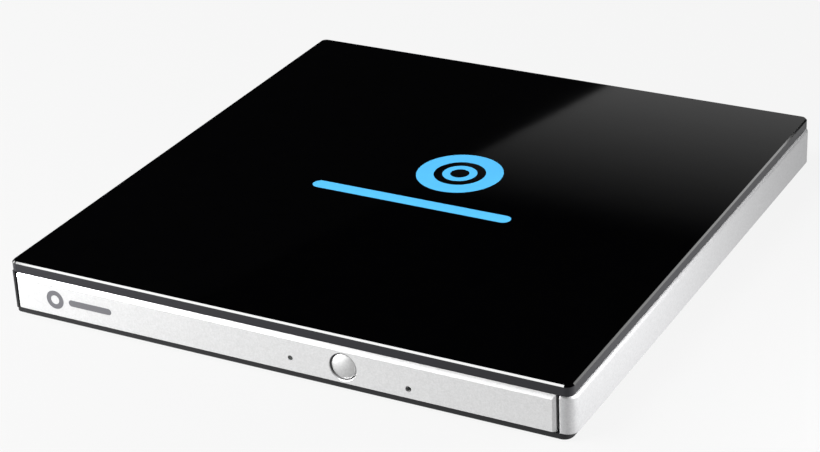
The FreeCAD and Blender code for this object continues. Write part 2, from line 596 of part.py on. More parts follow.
def disc_tray():
    """Moulded tray: disc wells, traverse opening, grooved side walls, ejector guides and latch post."""
    plate = slab(TRAY_LEFT, TRAY_RIGHT, TRAY_FRONT, TRAY_REAR, TRAY_BOTTOM, TRAY_TOP, 1.2)
    wells = [rod(SPINDLE_X, SPINDLE_Y, DISC_FLOOR, TRAY_TOP + 1, DISC_WELL_R),
             rod(SPINDLE_X, SPINDLE_Y, SMALL_DISC_FLOOR, TRAY_TOP + 1, SMALL_DISC_WELL_R)]
    notch_steps = ((-30, -58), (42, 46))
    finger_notches = [rod(SPINDLE_X + x, SPINDLE_Y + y, DISC_FLOOR, TRAY_TOP + 1, 9.0) for x, y in notch_steps]
    openings = [traverse_outline(0.0, TRAY_BOTTOM - 1, TRAY_TOP + 1),
                traverse_outline(LEDGE, LEDGE_Z, TRAY_TOP + 1)]
    edge_inset = 1.9
    edge_z = (TRAY_BOTTOM - 1, TRAY_EDGE_BOTTOM)
    edges = [box(TRAY_LEFT - 1, LEFT_FACE + edge_inset, TRAY_FRONT - 1, TRAY_REAR + 1, *edge_z),
             box(RIGHT_FACE - edge_inset, TRAY_RIGHT + 1, TRAY_FRONT - 1, TRAY_REAR + 1, *edge_z)]
    plate = cut(plate, wells + finger_notches + openings + edges)
    z0, z1 = RAIL_Z[0] - RUN_GAP - 0.4, TRAY_BOTTOM + 0.2
    left_wall = box(LEFT_FACE + 2.0, LEFT_FACE + 3.6, TRAY_FRONT, TRAY_REAR, z0, z1)
    groove_z = (RAIL_Z[0] - RUN_GAP, RAIL_Z[1] + RUN_GAP)
    left_groove = box(LEFT_FACE + 1.9, LEFT_FACE + 2.7, -62.0, TRAY_REAR + 1, *groove_z)
    right_wall = box(RIGHT_FACE - 3.6, RIGHT_FACE - 2.0, TRAY_FRONT, TRAY_REAR, z0, z1)
    right_groove = box(RIGHT_FACE - 2.7, RIGHT_FACE - 1.9, -62.0, TRAY_REAR + 1, *groove_z)
    front_wall = box(LEFT_FACE + 2.0, RIGHT_FACE - 2.0, TRAY_FRONT, TRAY_FRONT + 1.0, z0, z1)
    ejector_guides = [box(EJECTOR_X + side * 4.6 - 0.5, EJECTOR_X + side * 4.6 + 0.5, 24.0, 57.0, 3.4, z1)
                      for side in (-1, 1)]
    ejector_stop = box(EJECTOR_X - 4.6, EJECTOR_X + 4.6, 23.0, 24.4, 3.4, z1)
    latch_post = rod(LATCH_PIVOT[0], LATCH_PIVOT[1], 2.9, z1, 1.0)
    boss_points = [traverse_point(u, v) for u, v in DAMPERS]
    body = fused([plate, left_wall.cut(left_groove), right_wall.cut(right_groove), front_wall, ejector_stop, latch_post]
                 + ejector_guides)
    pilots = [rod(x, y, TRAY_BOTTOM - 1, TRAY_BOTTOM + 0.95, DAMPER_SCREW_R + 0.01) for x, y in boss_points]
    plate_pilots = [rod(x, y, TRAY_BOTTOM - 1, LEDGE_Z + 1, 0.51) for x, y in cover_screw_points()]
    button_pocket = box(BUTTON_X - 4.4, BUTTON_X + 4.4, TRAY_FRONT - 1, TRAY_FRONT + 1.5, 0, 9.9)
    stem_pocket = box(BUTTON_X - 2.6, BUTTON_X + 2.6, TRAY_FRONT + 1.0, TRAY_FRONT + 3.2, 0, 7.7)
    pipe_pocket = box(INDICATOR_X - 1.1, INDICATOR_X + 1.1, TRAY_FRONT - 1, TRAY_FRONT + 3.1, 0, 8.0)
    release_way = rod_y(RELEASE_X, RELEASE_Z, TRAY_FRONT - 1, TRAY_FRONT + 2, 0.9)
    tab_slots = [box(x - 3.1, x + 3.1, TRAY_FRONT - 1, TRAY_FRONT + 2.4, 8.6, 9.7) for x in BEZEL_TABS_X]
    return cut(body, pilots + plate_pilots + [button_pocket, stem_pocket, pipe_pocket, release_way] + tab_slots)


def bevel_wedge(tall):
    """The wedge that a bevel takes off the front of the tray's face, for an edge along X at z = 0 to tall."""
    low = V(-DEPTH, FACE - 0.01, -0.025)
    wire = Part.makePolygon([low, V(-DEPTH, FACE + BEZEL_BEVEL_DEEP, tall + 0.01), V(-DEPTH, FACE - 1, tall + 0.01),
                             V(-DEPTH, FACE - 1, -0.025), low])
    return Part.Face(wire).extrude(V(2 * DEPTH, 0, 0))


def tray_bezel():
    """Satin silver front of the tray, bevelled along its top and right end, wrapped round its left end."""
    face = box(BEZEL_LEFT, BEZEL_RIGHT, FACE, BEZEL_BACK, BEZEL_BOTTOM, BEZEL_TOP)
    left_return = box(BEZEL_LEFT, BEZEL_LEFT + 1.2, FACE, BEZEL_RETURN_END, BEZEL_BOTTOM, BEZEL_TOP)
    front = face.fuse(left_return).removeSplitter()
    left_end = [edge for edge in front.Edges if abs(edge.BoundBox.XMax - BEZEL_LEFT) < 1e-6]
    top_left = [edge for edge in left_end if edge.BoundBox.ZMin > BEZEL_TOP - 1e-6]
    front = front.makeFillet(BEZEL_ROUND, top_left + front_edges_at(front, BEZEL_LEFT))
    top_bevel = bevel_wedge(BEZEL_BEVEL_TALL)
    top_bevel.translate(V(0, 0, BEZEL_TOP - BEZEL_BEVEL_TALL))
    end_bevel = bevel_wedge(BEZEL_END_BEVEL)
    end_bevel.rotate(V(0, 0, 0), V(0, 1, 0), 90)
    end_bevel.translate(V(BEZEL_RIGHT - BEZEL_END_BEVEL, 0, 0))
    body = front.cut(top_bevel).cut(end_bevel)
    tabs = [box(x - 3.0, x + 3.0, BEZEL_BACK - 0.5, BEZEL_BACK + 2.3, 8.7, 9.6) for x in BEZEL_TABS_X]
    holes = [rod_y(BUTTON_X, BUTTON_Z, FACE - 1, BEZEL_BACK + 1, BUTTON_HOLE_R),
             rod_y(INDICATOR_X, INDICATOR_Z, FACE - 1, BEZEL_BACK + 1, INDICATOR_R),
             rod_y(RELEASE_X, RELEASE_Z, FACE - 1, BEZEL_BACK + 1, RELEASE_R)]
    rim_centre = V(BUTTON_X, FACE, BUTTON_Z)
    rim = Part.makeCone(BUTTON_HOLE_R + BUTTON_HOLE_EDGE, BUTTON_HOLE_R, BUTTON_HOLE_EDGE, rim_centre, V(0, 1, 0))
    return cut(fused([body] + tabs), holes + [rim])


def eject_button():
    """Domed round button with a retaining flange and a stem that reaches the switch."""
    rise = 0.75
    edge_y = FACE + 0.4
    radius = (BUTTON_R ** 2 + rise ** 2) / (2 * rise)
    ball = Part.makeSphere(radius, V(BUTTON_X, edge_y - rise + radius, BUTTON_Z))
    cap = rod_y(BUTTON_X, BUTTON_Z, edge_y - rise, BEZEL_BACK + 0.1, BUTTON_R).common(ball)
    barrel = rod_y(BUTTON_X, BUTTON_Z, edge_y, BEZEL_BACK + 0.2, BUTTON_R)
    flange = rod_y(BUTTON_X, BUTTON_Z, BEZEL_BACK + 0.1, BEZEL_BACK + 0.7, 3.95)
    stem = rod_y(BUTTON_X, BUTTON_Z, BEZEL_BACK + 0.5, BEZEL_BACK + 2.4, 1.5)
    return fused([cap, barrel, flange, stem])


def switch_plunger():
    """Small plunger of the switch, resting against the button's stem."""
    start = BEZEL_BACK + 2.4
    return box(BUTTON_X - 0.8, BUTTON_X + 0.8, start, start + 1.2, 5.2, 6.4)


def button_switch():
    """Side-press switch on the front board."""
    start = BEZEL_BACK + 3.0
    body = box(BUTTON_X - 2.4, BUTTON_X + 2.4, start, start + 3.0, 3.5, 6.35)
    return body.cut(box(BUTTON_X - 0.9, BUTTON_X + 0.9, start - 1, start + 1.2, 5.1, 6.5))


def front_board():
    """Narrow board behind the bezel that carries the switch and the indicator lamp."""
    y0 = TRAY_FRONT + 1.4
    board = box(-14.0, 24.0, y0, y0 + 7.0, 2.9, 3.5)
    lamp = box(INDICATOR_X - 0.8, INDICATOR_X + 0.8, y0 + 1.6, y0 + 3.2, 3.5, 4.2)
    hooks = [box(x - 0.6, x + 0.6, y0 + 5.6, y0 + 6.8, 3.5, TRAY_BOTTOM) for x in (-12.0, 22.0)]
    return fused([board, lamp] + hooks)


def light_pipe():
    """Clear bar that carries the lamp's light up and out through the indicator hole."""
    y0 = TRAY_FRONT + 1.6
    post = box(INDICATOR_X - 0.7, INDICATOR_X + 0.7, y0, y0 + 1.2, 4.4, INDICATOR_Z + 0.5)
    nose = rod_y(INDICATOR_X, INDICATOR_Z, FACE + 0.1, y0 + 0.6, INDICATOR_R - 0.04)
    return fused([post, nose])


def cover_screw_points():
    return [traverse_point(u, v) for u, v in ((8.0, OPENING_HALF + 1.0), (8.0, -OPENING_HALF - 1.0),
                                              (56.0, OPENING_HALF + 1.0), (56.0, -OPENING_HALF - 1.0))]


def traverse_cover():
    """Thin steel plate round the turntable and the pickup's slot."""
    gap = 0.1
    plate = traverse_outline(LEDGE - gap, LEDGE_Z, LEDGE_Z + COVER_PLATE)
    hub_hole = on_traverse(rod(0, 0, LEDGE_Z - 1, LEDGE_Z + 2, 14.0))
    slot = box(10.0, 63.6, -9.0, 9.0, LEDGE_Z - 1, LEDGE_Z + 2)
    slot = on_traverse(slot.makeFillet(2.0, upright_edges(slot)))
    holes = [rod(x, y, LEDGE_Z - 1, LEDGE_Z + 2, 0.6) for x, y in cover_screw_points()]
    return cut(plate, [hub_hole, slot] + holes)


def tray_screws():
    """Screws of the traverse dampers, driven from below, and of the traverse cover, driven from above."""
    screws = []
    for u, v in DAMPERS:
        x, y = traverse_point(u, v)
        screws.append(cross_screw(x, y, 4.2, 1.9, 0.5, DAMPER_SCREW_R, 2.55))
    for x, y in cover_screw_points():
        top = LEDGE_Z + COVER_PLATE
        head = rod(x, y, top, top + 0.3, 1.0)
        shank = rod(x, y, TRAY_BOTTOM + 0.1, top, 0.5)
        slot = box(x - 0.7, x + 0.7, y - 0.12, y + 0.12, top + 0.12, top + 1)
        screws.append(fused([head, shank]).cut(slot))
    return Part.makeCompound(screws)


def tray_board():
    """Board under the left rear of the tray where the flat cable ends."""
    board = box(-58.0, -33.0, 0.0, 20.0, 5.5, 6.3)
    connector = box(FLEX_X[0] - 0.5, FLEX_X[1] + 0.5, 9.0, 12.0, 4.4, 5.5)
    chip = box(-41.0, -36.0, 4.0, 11.0, 4.6, 5.5)
    slot = box(FLEX_X[0] - 0.1, FLEX_X[1] + 0.1, 8.0, 9.3, 4.9, 5.1)
    return fused([board, connector, chip]).cut(slot)


# ---- traverse -----------------------------------------------------------------------------------------------
def traverse_chassis():
    """Steel frame that carries the spindle motor, the rods and the sled motor."""
    z0, z1 = CHASSIS_Z
    motor_end = box(CHASSIS_START, 14.5, -CHASSIS_HALF, CHASSIS_HALF, z0, z1)
    beams = [box(-10.0, CHASSIS_END - 1.5, s * (BEAM_INNER + CHASSIS_HALF) / 2 - 0.7,
                 s * (BEAM_INNER + CHASSIS_HALF) / 2 + 0.7, BEAM_BOTTOM, z1) for s in (-1, 1)]
    end_beam = box(65.0, CHASSIS_END, -CHASSIS_HALF + 0.9, CHASSIS_HALF - 0.9, 3.2, z1)
    ear = fused([rod(DAMPERS[2][0], 0, z0, z1, 3.4), box(CHASSIS_END - 0.5, DAMPERS[2][0], -3.4, 3.4, z0, z1)])
    rod_blocks = [box(12.4, 14.5, s * ROD_V - 1.7, s * ROD_V + 1.7, 3.1, z1) for s in (-1, 1)]
    pivot_block = box(13.3, 15.0, SCREW_V - 1.4, SCREW_V + 1.6, 3.3, z1)
    motor_legs = [rod(12.0 * math.cos(a), 12.0 * math.sin(a), 3.7, z1, 1.3)
                  for a in (math.radians(75), math.radians(180), math.radians(285))]
    motor_tab = box(CHASSIS_END - 0.5, 69.0, SCREW_V - 2.6, SCREW_V + 2.6, 3.2, z1)
    body = fused([motor_end, end_beam, ear, pivot_block, motor_tab] + beams + rod_blocks + motor_legs)
    holes = [rod(0, 0, 0, 9, 10.7)]
    holes += [rod(u, v, 0, 9, 1.7) for u, v in DAMPERS]
    holes += [rod_x(s * ROD_V, ROD_Z, 13.0, 66.6, ROD_R + 0.02) for s in (-1, 1)]
    holes += [rod_x(SCREW_V, ROD_Z, 14.2, 16.0, 0.63), rod_x(SCREW_V, ROD_Z, 60.0, 70.0, THREAD_R + 0.2)]
    return on_traverse(cut(body, holes))


def traverse_dampers():
    """Rubber grommets between the chassis and the tray."""
    grommets = []
    for u, v in DAMPERS:
        lower = rod(u, v, 4.7, CHASSIS_Z[0], DAMPER_R)
        neck = rod(u, v, CHASSIS_Z[0], CHASSIS_Z[1], 1.65)
        upper = rod(u, v, CHASSIS_Z[1], TRAY_BOTTOM, DAMPER_R)
        bore = rod(u, v, 4, 7, DAMPER_SCREW_R + 0.01)
        grommets.append(on_traverse(fused([lower, neck, upper]).cut(bore)))
    return Part.makeCompound(grommets)


def guide_rods():
    """Two ground rods that the sled runs on."""
    return Part.makeCompound([on_traverse(rod_x(side * ROD_V, ROD_Z, 13.1, 66.5, ROD_R)) for side in (-1, 1)])


def sled_motor():
    """Stepping motor at the end of the lead screw."""
    can = rod_x(SCREW_V, ROD_Z, 69.0, 76.0, 1.8)
    band = rod_x(SCREW_V, ROD_Z, 72.1, 72.9, 1.85)
    terminals = box(69.8, 75.2, SCREW_V - 3.0, SCREW_V - 1.2, 3.9, 5.1)
    bore = rod_x(SCREW_V, ROD_Z, 68.0, 74.0, 0.55)
    return on_traverse(fused([can, band, terminals]).cut(bore))


def lead_screw():
    """Threaded shaft that drives the sled: plain journals at both ends and a helical ridge between them."""
    start, end = SCREW_SPAN
    core = rod_x(SCREW_V, ROD_Z, start - 0.4, 68.6, CORE_R)
    inner_journal = rod_x(SCREW_V, ROD_Z, 14.4, start, 0.6)
    outer_journal = rod_x(SCREW_V, ROD_Z, 68.0, 73.8, 0.5)
    height = end - start - 2 * THREAD_INSET
    helix = Part.makeHelix(THREAD_PITCH, height, CORE_R)
    ridge_half = 0.45
    sink = 0.15
    profile = Part.makePolygon([V(CORE_R - sink, 0, -ridge_half), V(THREAD_R, 0, -ridge_half * 0.6),
                                V(THREAD_R, 0, ridge_half * 0.6), V(CORE_R - sink, 0, ridge_half),
                                V(CORE_R - sink, 0, -ridge_half)])
    ridge = Part.Wire(helix).makePipeShell([profile], True, True)
    ridge.rotate(V(0, 0, 0), V(0, 1, 0), 90)
    ridge.translate(V(start + THREAD_INSET, SCREW_V, ROD_Z))
    return on_traverse(fused([core, inner_journal, outer_journal]).fuse(ridge))


def sled_nut():
    """Plastic rack beside the sled with two teeth in the lead screw's groove."""
    ridge_u = SCREW_SPAN[0] + THREAD_INSET + THREAD_PITCH * 0.75
    groove_u = ridge_u + THREAD_PITCH * 1.5
    bracket = box(groove_u - 1.0, groove_u + THREAD_PITCH + 1.0, 8.4, 8.95, 3.4, 6.15)
    tooth_tip = SCREW_V - CORE_R - 0.1
    teeth = [box(u - 0.4, u + 0.4, 8.9, tooth_tip, ROD_Z - 0.4, ROD_Z + 0.4)
             for u in (groove_u, groove_u + THREAD_PITCH)]
    return on_traverse(fused([bracket] + teeth))


def pickup_body():
    """Die-cast sled: optics block, bearing sleeve on one rod and fork on the other."""
    u0, u1 = LENS_START - PICKUP_HALF, LENS_START + PICKUP_HALF
    block = box(u0, u1, -11.4, 8.4, PICKUP_BOTTOM, PICKUP_TOP)
    block = block.makeFillet(1.0, upright_edges(block))
    arm = box(u0 + 1, u1 - 1, 8.0, 15.3, 6.15, PICKUP_TOP)
    sleeve = box(u0 + 1, u1 - 1, 12.3, 15.3, PICKUP_BOTTOM, PICKUP_TOP)
    fork = box(LENS_START - 2.6, LENS_START + 2.6, -15.2, -11.0, PICKUP_BOTTOM, 5.95)
    body = fused([block, arm, sleeve, fork])
    holes = [rod_x(ROD_V, ROD_Z, u0 - 1, u1 + 1, ROD_R + 0.02),
             box(u0 - 1, u1 + 1, -16.0, -ROD_V + ROD_R + 0.1, ROD_Z - ROD_R - 0.02, ROD_Z + ROD_R + 0.02),
             box(u0 + 4.0, u1 - 4.0, -16.0, -11.8, PICKUP_BOTTOM - 1, PICKUP_BOTTOM - 0.5),
             box(LENS_START - 6.5, LENS_START + 6.5, -5.6, 5.6, 5.6, PICKUP_TOP + 1),
             rod(LENS_START, 0, PICKUP_BOTTOM - 1, PICKUP_TOP, 1.6),
             box(u0 - 1, u0 + 2.0, -4.0, 4.0, PICKUP_BOTTOM - 1, 4.6)]
    return on_traverse(cut(body, holes))


def pickup_cover():
    """Thin spring-steel cover with a window for the lens."""
    u0, u1 = LENS_START - PICKUP_HALF + 0.4, LENS_START + PICKUP_HALF - 0.4
    plate = box(u0, u1, -11.0, 8.0, PICKUP_TOP, PICKUP_TOP + 0.15)
    plate = plate.makeFillet(0.8, upright_edges(plate))
    window = box(LENS_START - 6.3, LENS_START + 6.3, -5.4, 5.4, PICKUP_TOP - 1, PICKUP_TOP + 1)
    return on_traverse(plate.cut(window))


def pickup_magnets():
    """Two magnets that drive the lens holder."""
    return Part.makeCompound([on_traverse(box(LENS_START - 2.5, LENS_START + 2.5, min(s * 4.5, s * 5.3),
                                              max(s * 4.5, s * 5.3), 5.6, 7.05)) for s in (-1, 1)])


def lens_holder():
    body = box(LENS_START - 5.4, LENS_START + 5.4, -4.0, 4.0, 6.2, 7.3)
    body = body.makeFillet(1.2, upright_edges(body))
    collar = rod(LENS_START, 0, 7.3, 7.7, 2.9)
    return on_traverse(fused([body, collar]).cut(rod(LENS_START, 0, 6, 9, 2.0)))


def objective_lens():
    """Aspheric lens, domed on top."""
    barrel = rod(LENS_START, 0, 6.9, 7.7, 2.0)
    rise = 0.4
    radius = (2.0 ** 2 + rise ** 2) / (2 * rise)
    ball = Part.makeSphere(radius, V(LENS_START, 0, 7.7 + rise - radius))
    dome = rod(LENS_START, 0, 7.6, 7.7 + rise, 2.0).common(ball)
    return on_traverse(fused([barrel, dome]))


# ---- spindle ------------------------------------------------------------------------------------------------
def spindle_motor_plate():
    """Steel plate with the bearing sleeve of the spindle motor."""
    plate = rod(0, 0, 3.2, 3.7, 14.0)
    sleeve = rod(0, 0, 2.9, 6.1, 2.0)
    return on_traverse(fused([plate, sleeve]).cut(rod(0, 0, 3.1, 9, SHAFT_R + 0.03)))


def spindle_stator():
    """Laminated star with nine poles, each with its coil."""
    poles = 9
    star = [ring(0, 0, 4.2, 5.0, 2.01, 3.8)]
    coils = []
    for k in range(poles):
        angle = 360.0 / poles * k
        arm = box(3.4, 8.4, -0.6, 0.6, 4.2, 5.0).fuse(box(7.7, 8.4, -2.2, 2.2, 4.2, 5.0))
        star.append(turned(arm, 0, 0, angle))
        coil = box(4.6, 7.5, -1.1, 1.1, 3.85, 5.35).cut(box(4.0, 8.0, -0.61, 0.61, 4.19, 5.01))
        coils.append(turned(coil, 0, 0, angle))
    foot_ring = ring(0, 0, 3.7, 4.2, 2.01, 3.0)
    return Part.makeCompound([on_traverse(s) for s in [fused(star + [foot_ring])] + coils])


def spindle_rotor():
    cup = ring(0, 0, 4.1, 6.5, 9.5, 10.2)
    top = rod(0, 0, 6.2, 6.5, 10.2)
    return on_traverse(fused([cup, top]).cut(rod(0, 0, 3, 9, SHAFT_R)))


def rotor_magnet():
    return on_traverse(ring(0, 0, 4.3, 6.1, 8.75, 9.5))


def spindle_shaft():
    shaft = rod(0, 0, 3.2, HUB_TOP - 0.6, SHAFT_R)
    return on_traverse(shaft)


def claw_slot(angle, width, inner, outer, z0, z1):
    return turned(box(inner, outer, -width / 2, width / 2, z0, z1), 0, 0, angle)


def turntable_hub():
    """Moulded turntable with its centring hub and three claw slots."""
    neck = rod(0, 0, 6.5, 7.9, 6.0)
    plate = rod(0, 0, 7.9, 8.6, 12.9)
    hub = rod(0, 0, 8.6, HUB_TOP, HUB_R)
    hub = hub.makeChamfer(0.45, level_edges(hub, HUB_TOP))
    body = fused([neck, plate, hub])
    slots = [claw_slot(a, 3.0, 3.4, 9.0, 8.95, 9.85) for a in (0, 120, 240)]
    bore = rod(0, 0, 6, HUB_TOP - 0.6, SHAFT_R)
    dimple = rod(0, 0, HUB_TOP - 0.25, HUB_TOP + 1, 3.6)
    return on_traverse(cut(body, slots + [bore, dimple]))


def turntable_pad():
    return on_traverse(ring(0, 0, 8.6, TURNTABLE_TOP, 9.2, 12.7))


def disc_claw(angle):
    """Sprung claw that holds the disc, with a sloping nose."""
    reach = HUB_R + CLAW_PROUD
    points = [V(4.2, 0, 9.05), V(reach - 0.35, 0, 9.05), V(reach, 0, 9.3), V(reach - 0.5, 0, 9.75), V(4.2, 0, 9.75)]
    face = Part.Face(Part.makePolygon(points + points[:1]))
    claw = face.extrude(V(0, 2.7, 0))
    claw.translate(V(0, -1.35, 0))
    claw = claw.common(rod(0, 0, 8.0, 11.0, HUB_R + CLAW_PROUD))
    return on_traverse(turned(claw, 0, 0, angle))


def disc_claw_1():
    return disc_claw(0)


def disc_claw_2():
    return disc_claw(120)


def disc_claw_3():
    return disc_claw(240)


# ---- latch and ejector --------------------------------------------------------------------------------------
def latch_lever():
    """Hooked lever, drawn released: swung clear of the latch pin's path."""
    px, py = LATCH_PIVOT
    z0, z1 = LATCH_Z
    boss = rod(px, py, z0, 5.0, 2.2)
    hook_x, hook_y = LATCH_PIN[0] + 0.5, LATCH_PIN[1] + LATCH_PIN_R + 0.2
    arm = prism([(px, py - 1.6), (44.6, hook_y - 3.4), (44.6, hook_y + 1.6), (px, py + 1.6)], z0, z1)
    finger = box(44.0, hook_x, hook_y, hook_y + 1.6, z0, z1)
    plunger_arm = box(px - 1.3, px + 1.3, py, py + PLUNGER_ARM + 2.0, z0, z1)
    release_tab = box(px, RELEASE_X + 1.2, py - 4.4, py - 2.9, z0, z1)
    release_arm = prism([(px - 0.5, py), (px + 2.6, py), (px + 3.4, py - 3.2), (px + 0.3, py - 3.2)], z0, z1)
    body = fused([boss, arm, finger, plunger_arm, release_tab, release_arm])
    slot = box(px - 0.7, px + 0.7, py + PLUNGER_ARM - 1.0, py + PLUNGER_ARM + 1.0, 0, 9)
    body = cut(body, [rod(px, py, 0, 9, 1.04), slot])
    return turned(body, px, py, LATCH_SWING)


def plunger_centre():
    """The plunger's pin with the lever released."""
    angle = math.radians(90 + LATCH_SWING)
    return LATCH_PIVOT[0] + PLUNGER_ARM / math.tan(angle), LATCH_PIVOT[1] + PLUNGER_ARM


def latch_plunger():
    """Iron plunger with a crosswise pin in the lever's slot."""
    x, y = plunger_centre()
    fork_z0, fork_z1 = LATCH_Z[1] + 0.15, LATCH_Z[1] + 0.75
    core = rod_x(y, 5.0, 12.0, x - 2.6, 1.0)
    blade = box(x - 3.2, x + 0.9, y - 0.9, y + 0.9, fork_z0, fork_z1)
    pin = rod(x, y, LATCH_Z[0] - 0.1, fork_z0 + 0.1, 0.5)
    return fused([core, blade, pin])


def latch_solenoid():
    """Coil, yoke and holding magnet that keep the plunger in until the coil is pulsed."""
    y = LATCH_PIVOT[1] + PLUNGER_ARM
    coil = rod_x(y, 4.6, 10.0, 19.0, 1.75)
    yoke = box(8.0, 20.2, y - 3.2, y + 3.2, 2.8, 6.3)
    yoke = yoke.cut(box(9.2, 19.0, y - 4, y + 4, 3.3, 7.0))
    bore = rod_x(y, 5.0, 11.5, 25.0, 1.06)
    return Part.makeCompound([yoke.cut(bore), coil.cut(bore)])


def coil_spring(radius, wire, turns, length):
    """A helical spring standing along Z from the origin."""
    helix = Part.makeHelix(length / turns, length, radius)
    section = Part.Wire(Part.makeCircle(wire, V(radius, 0, 0), V(0, 1, 0)))
    return Part.Wire(helix).makePipeShell([section], True, True)


def latch_spring():
    """Torsion spring round the latch post."""
    spring = coil_spring(1.5, 0.2, 2, 0.86)
    spring.translate(V(LATCH_PIVOT[0], LATCH_PIVOT[1], 5.26))
    return spring


def ejector_slider():
    """Plunger that pushes the tray off the drive's rear wall when the latch lets go."""
    nose = slab(EJECTOR_X - 2.0, EJECTOR_X + 2.0, 56.0, 58.9, 3.6, 5.8, 0.9)
    body = box(EJECTOR_X - 3.9, EJECTOR_X + 3.9, 43.5, 56.5, 3.6, 6.2)
    tail = rod_y(EJECTOR_X, 4.9, 27.0, 44.0, 0.8)
    return fused([nose, body, tail])


def ejector_spring():
    """Compressed spring between the tray and the ejector slider."""
    length = 18.0
    spring = coil_spring(1.15, 0.2, 14, length)
    spring.rotate(V(0, 0, 0), V(1, 0, 0), -90)
    spring.translate(V(EJECTOR_X, 24.85, 4.9))
    return spring


SUB_PARTS = [
    lid_panel, lid_adhesive, top_cover, side_frame, base_cover, rubber_feet, case_screws, bridge_board, bridge_chips,
    usb_socket_shell, usb_socket_tongue, sata_receptacle, drive_bottom_case, drive_top_case, drive_case_screws,
    rail_guides, slide_rail_left, slide_rail_right, latch_pin, main_board, main_board_chips, sata_plug,
    tray_flex_cable, disc_tray, tray_bezel, eject_button, switch_plunger, button_switch, front_board, light_pipe,
    traverse_cover, tray_screws, tray_board, traverse_chassis, traverse_dampers, guide_rods, sled_motor, lead_screw,
    sled_nut, pickup_body, pickup_cover, pickup_magnets, lens_holder, objective_lens,
    spindle_motor_plate, spindle_stator, spindle_rotor, rotor_magnet, spindle_shaft, turntable_hub, turntable_pad,
    disc_claw_1, disc_claw_2, disc_claw_3, latch_lever, latch_plunger, latch_solenoid, latch_spring, ejector_slider,
    ejector_spring,
]


def main():
    os.makedirs("parts", exist_ok=True)
    for build in SUB_PARTS:
        shape = build()
        name = build.__name__
        solids = shape.Solids
        if not solids or any(not s.isValid() or s.Volume <= 0 for s in solids):
            raise RuntimeError(name + " isn't made of valid solids")
        shape.exportStep("parts/" + name + ".step")
        print(name, len(solids), round(sum(s.Volume for s in solids), 2))


main()
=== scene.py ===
"""Looks of the external optical drive: finishes, marks, flat cable, rating plate, studio and camera.

Every size is in metres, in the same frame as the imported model: +Z up, the tray opens towards -Y.
"""
import json
import math

import bpy
from mathutils import Matrix, Vector


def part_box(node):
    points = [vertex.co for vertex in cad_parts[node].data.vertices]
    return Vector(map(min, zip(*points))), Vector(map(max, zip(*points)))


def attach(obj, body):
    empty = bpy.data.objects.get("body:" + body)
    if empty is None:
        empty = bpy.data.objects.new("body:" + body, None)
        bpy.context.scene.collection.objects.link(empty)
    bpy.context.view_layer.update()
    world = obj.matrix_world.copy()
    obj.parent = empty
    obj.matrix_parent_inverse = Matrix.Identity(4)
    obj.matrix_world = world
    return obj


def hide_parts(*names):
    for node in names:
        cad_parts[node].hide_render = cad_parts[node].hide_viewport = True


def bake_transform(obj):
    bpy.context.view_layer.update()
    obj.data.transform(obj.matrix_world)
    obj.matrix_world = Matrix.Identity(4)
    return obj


bl_info = {
    "name": "External optical drive looks",
    "version": (1, 0, 0),
    "blender": (4, 5, 0),
    "location": "3D Viewport > Sidebar > Drive",
    "description": "Finishes the packed optical drive, adds its marks and cable, and sets up its studio",
    "category": "Object",
}

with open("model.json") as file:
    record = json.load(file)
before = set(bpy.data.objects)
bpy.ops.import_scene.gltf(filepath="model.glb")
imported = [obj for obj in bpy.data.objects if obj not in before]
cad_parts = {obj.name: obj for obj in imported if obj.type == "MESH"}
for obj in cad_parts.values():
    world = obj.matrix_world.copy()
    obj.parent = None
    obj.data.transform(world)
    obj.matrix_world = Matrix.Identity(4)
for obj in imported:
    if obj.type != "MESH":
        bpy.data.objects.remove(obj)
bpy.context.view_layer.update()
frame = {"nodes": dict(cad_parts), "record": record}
SENSOR_WIDTH = 36.0
SLOT_OF_NODE = {part["node"]: part["material_slot"] for part in frame["record"]["subparts"]}
COLOUR_OF_SLOT = {entry["slot"]: tuple(entry["base_color"][:3]) for entry in frame["record"]["materials"]}
finishes = {}

SMOOTH_ANGLE = math.radians(35)
MERGE_DISTANCE = 0.0000001
CIRCLE_STEPS = 96

# The lid mark's two rings: inner and outer radius, as parts of the whole mark's radius.
LID_RINGS = ((0.60, 1.0), (0.22, 0.40))

# The mark on the tray's front, from its left end.
FRONT_RING = (0.0011, 0.0023)
FRONT_RING_INSET = 0.0105
FRONT_BAR = (0.0115, 0.0016)
FRONT_BAR_INSET = 0.0095
FRONT_MARK_DROP = 0.0003

# The tray's flat cable: (y, z) of its two levels, its fold and its ends.
CABLE_THICK = 0.00012
CABLE_FLOOR_Z = 0.00242
CABLE_FOLD_Z = (0.00262, 0.00278)
CABLE_TOP_Z = 0.00294
CABLE_CASE_Y = 0.0244
CABLE_FOLD_Y = -0.049
CABLE_TRAY_Y = 0.004
CABLE_RISE = [(0.0055, 0.00345), (0.0064, 0.0045), (0.0074, 0.005), (0.0092, 0.005)]
CABLE_TAIL = [(CABLE_CASE_Y, CABLE_FLOOR_Z), (0.0249, 0.0028), (0.0253, 0.0038), (0.0257, 0.0043),
              (0.0292, 0.0043)]
CABLE_STEPS = 16
FOLD_STEPS = 6

# The rating plate and the recess that it lies in.
PLATE_SIZE = (0.0664, 0.0464)
PLATE_THICK = 0.00008
PLATE_CORNER = 0.0016
PLATE_BORDER = 0.0011
PLATE_GROOVE = (0.00025, 0.00002)
RECESS_DEPTH = 0.00015

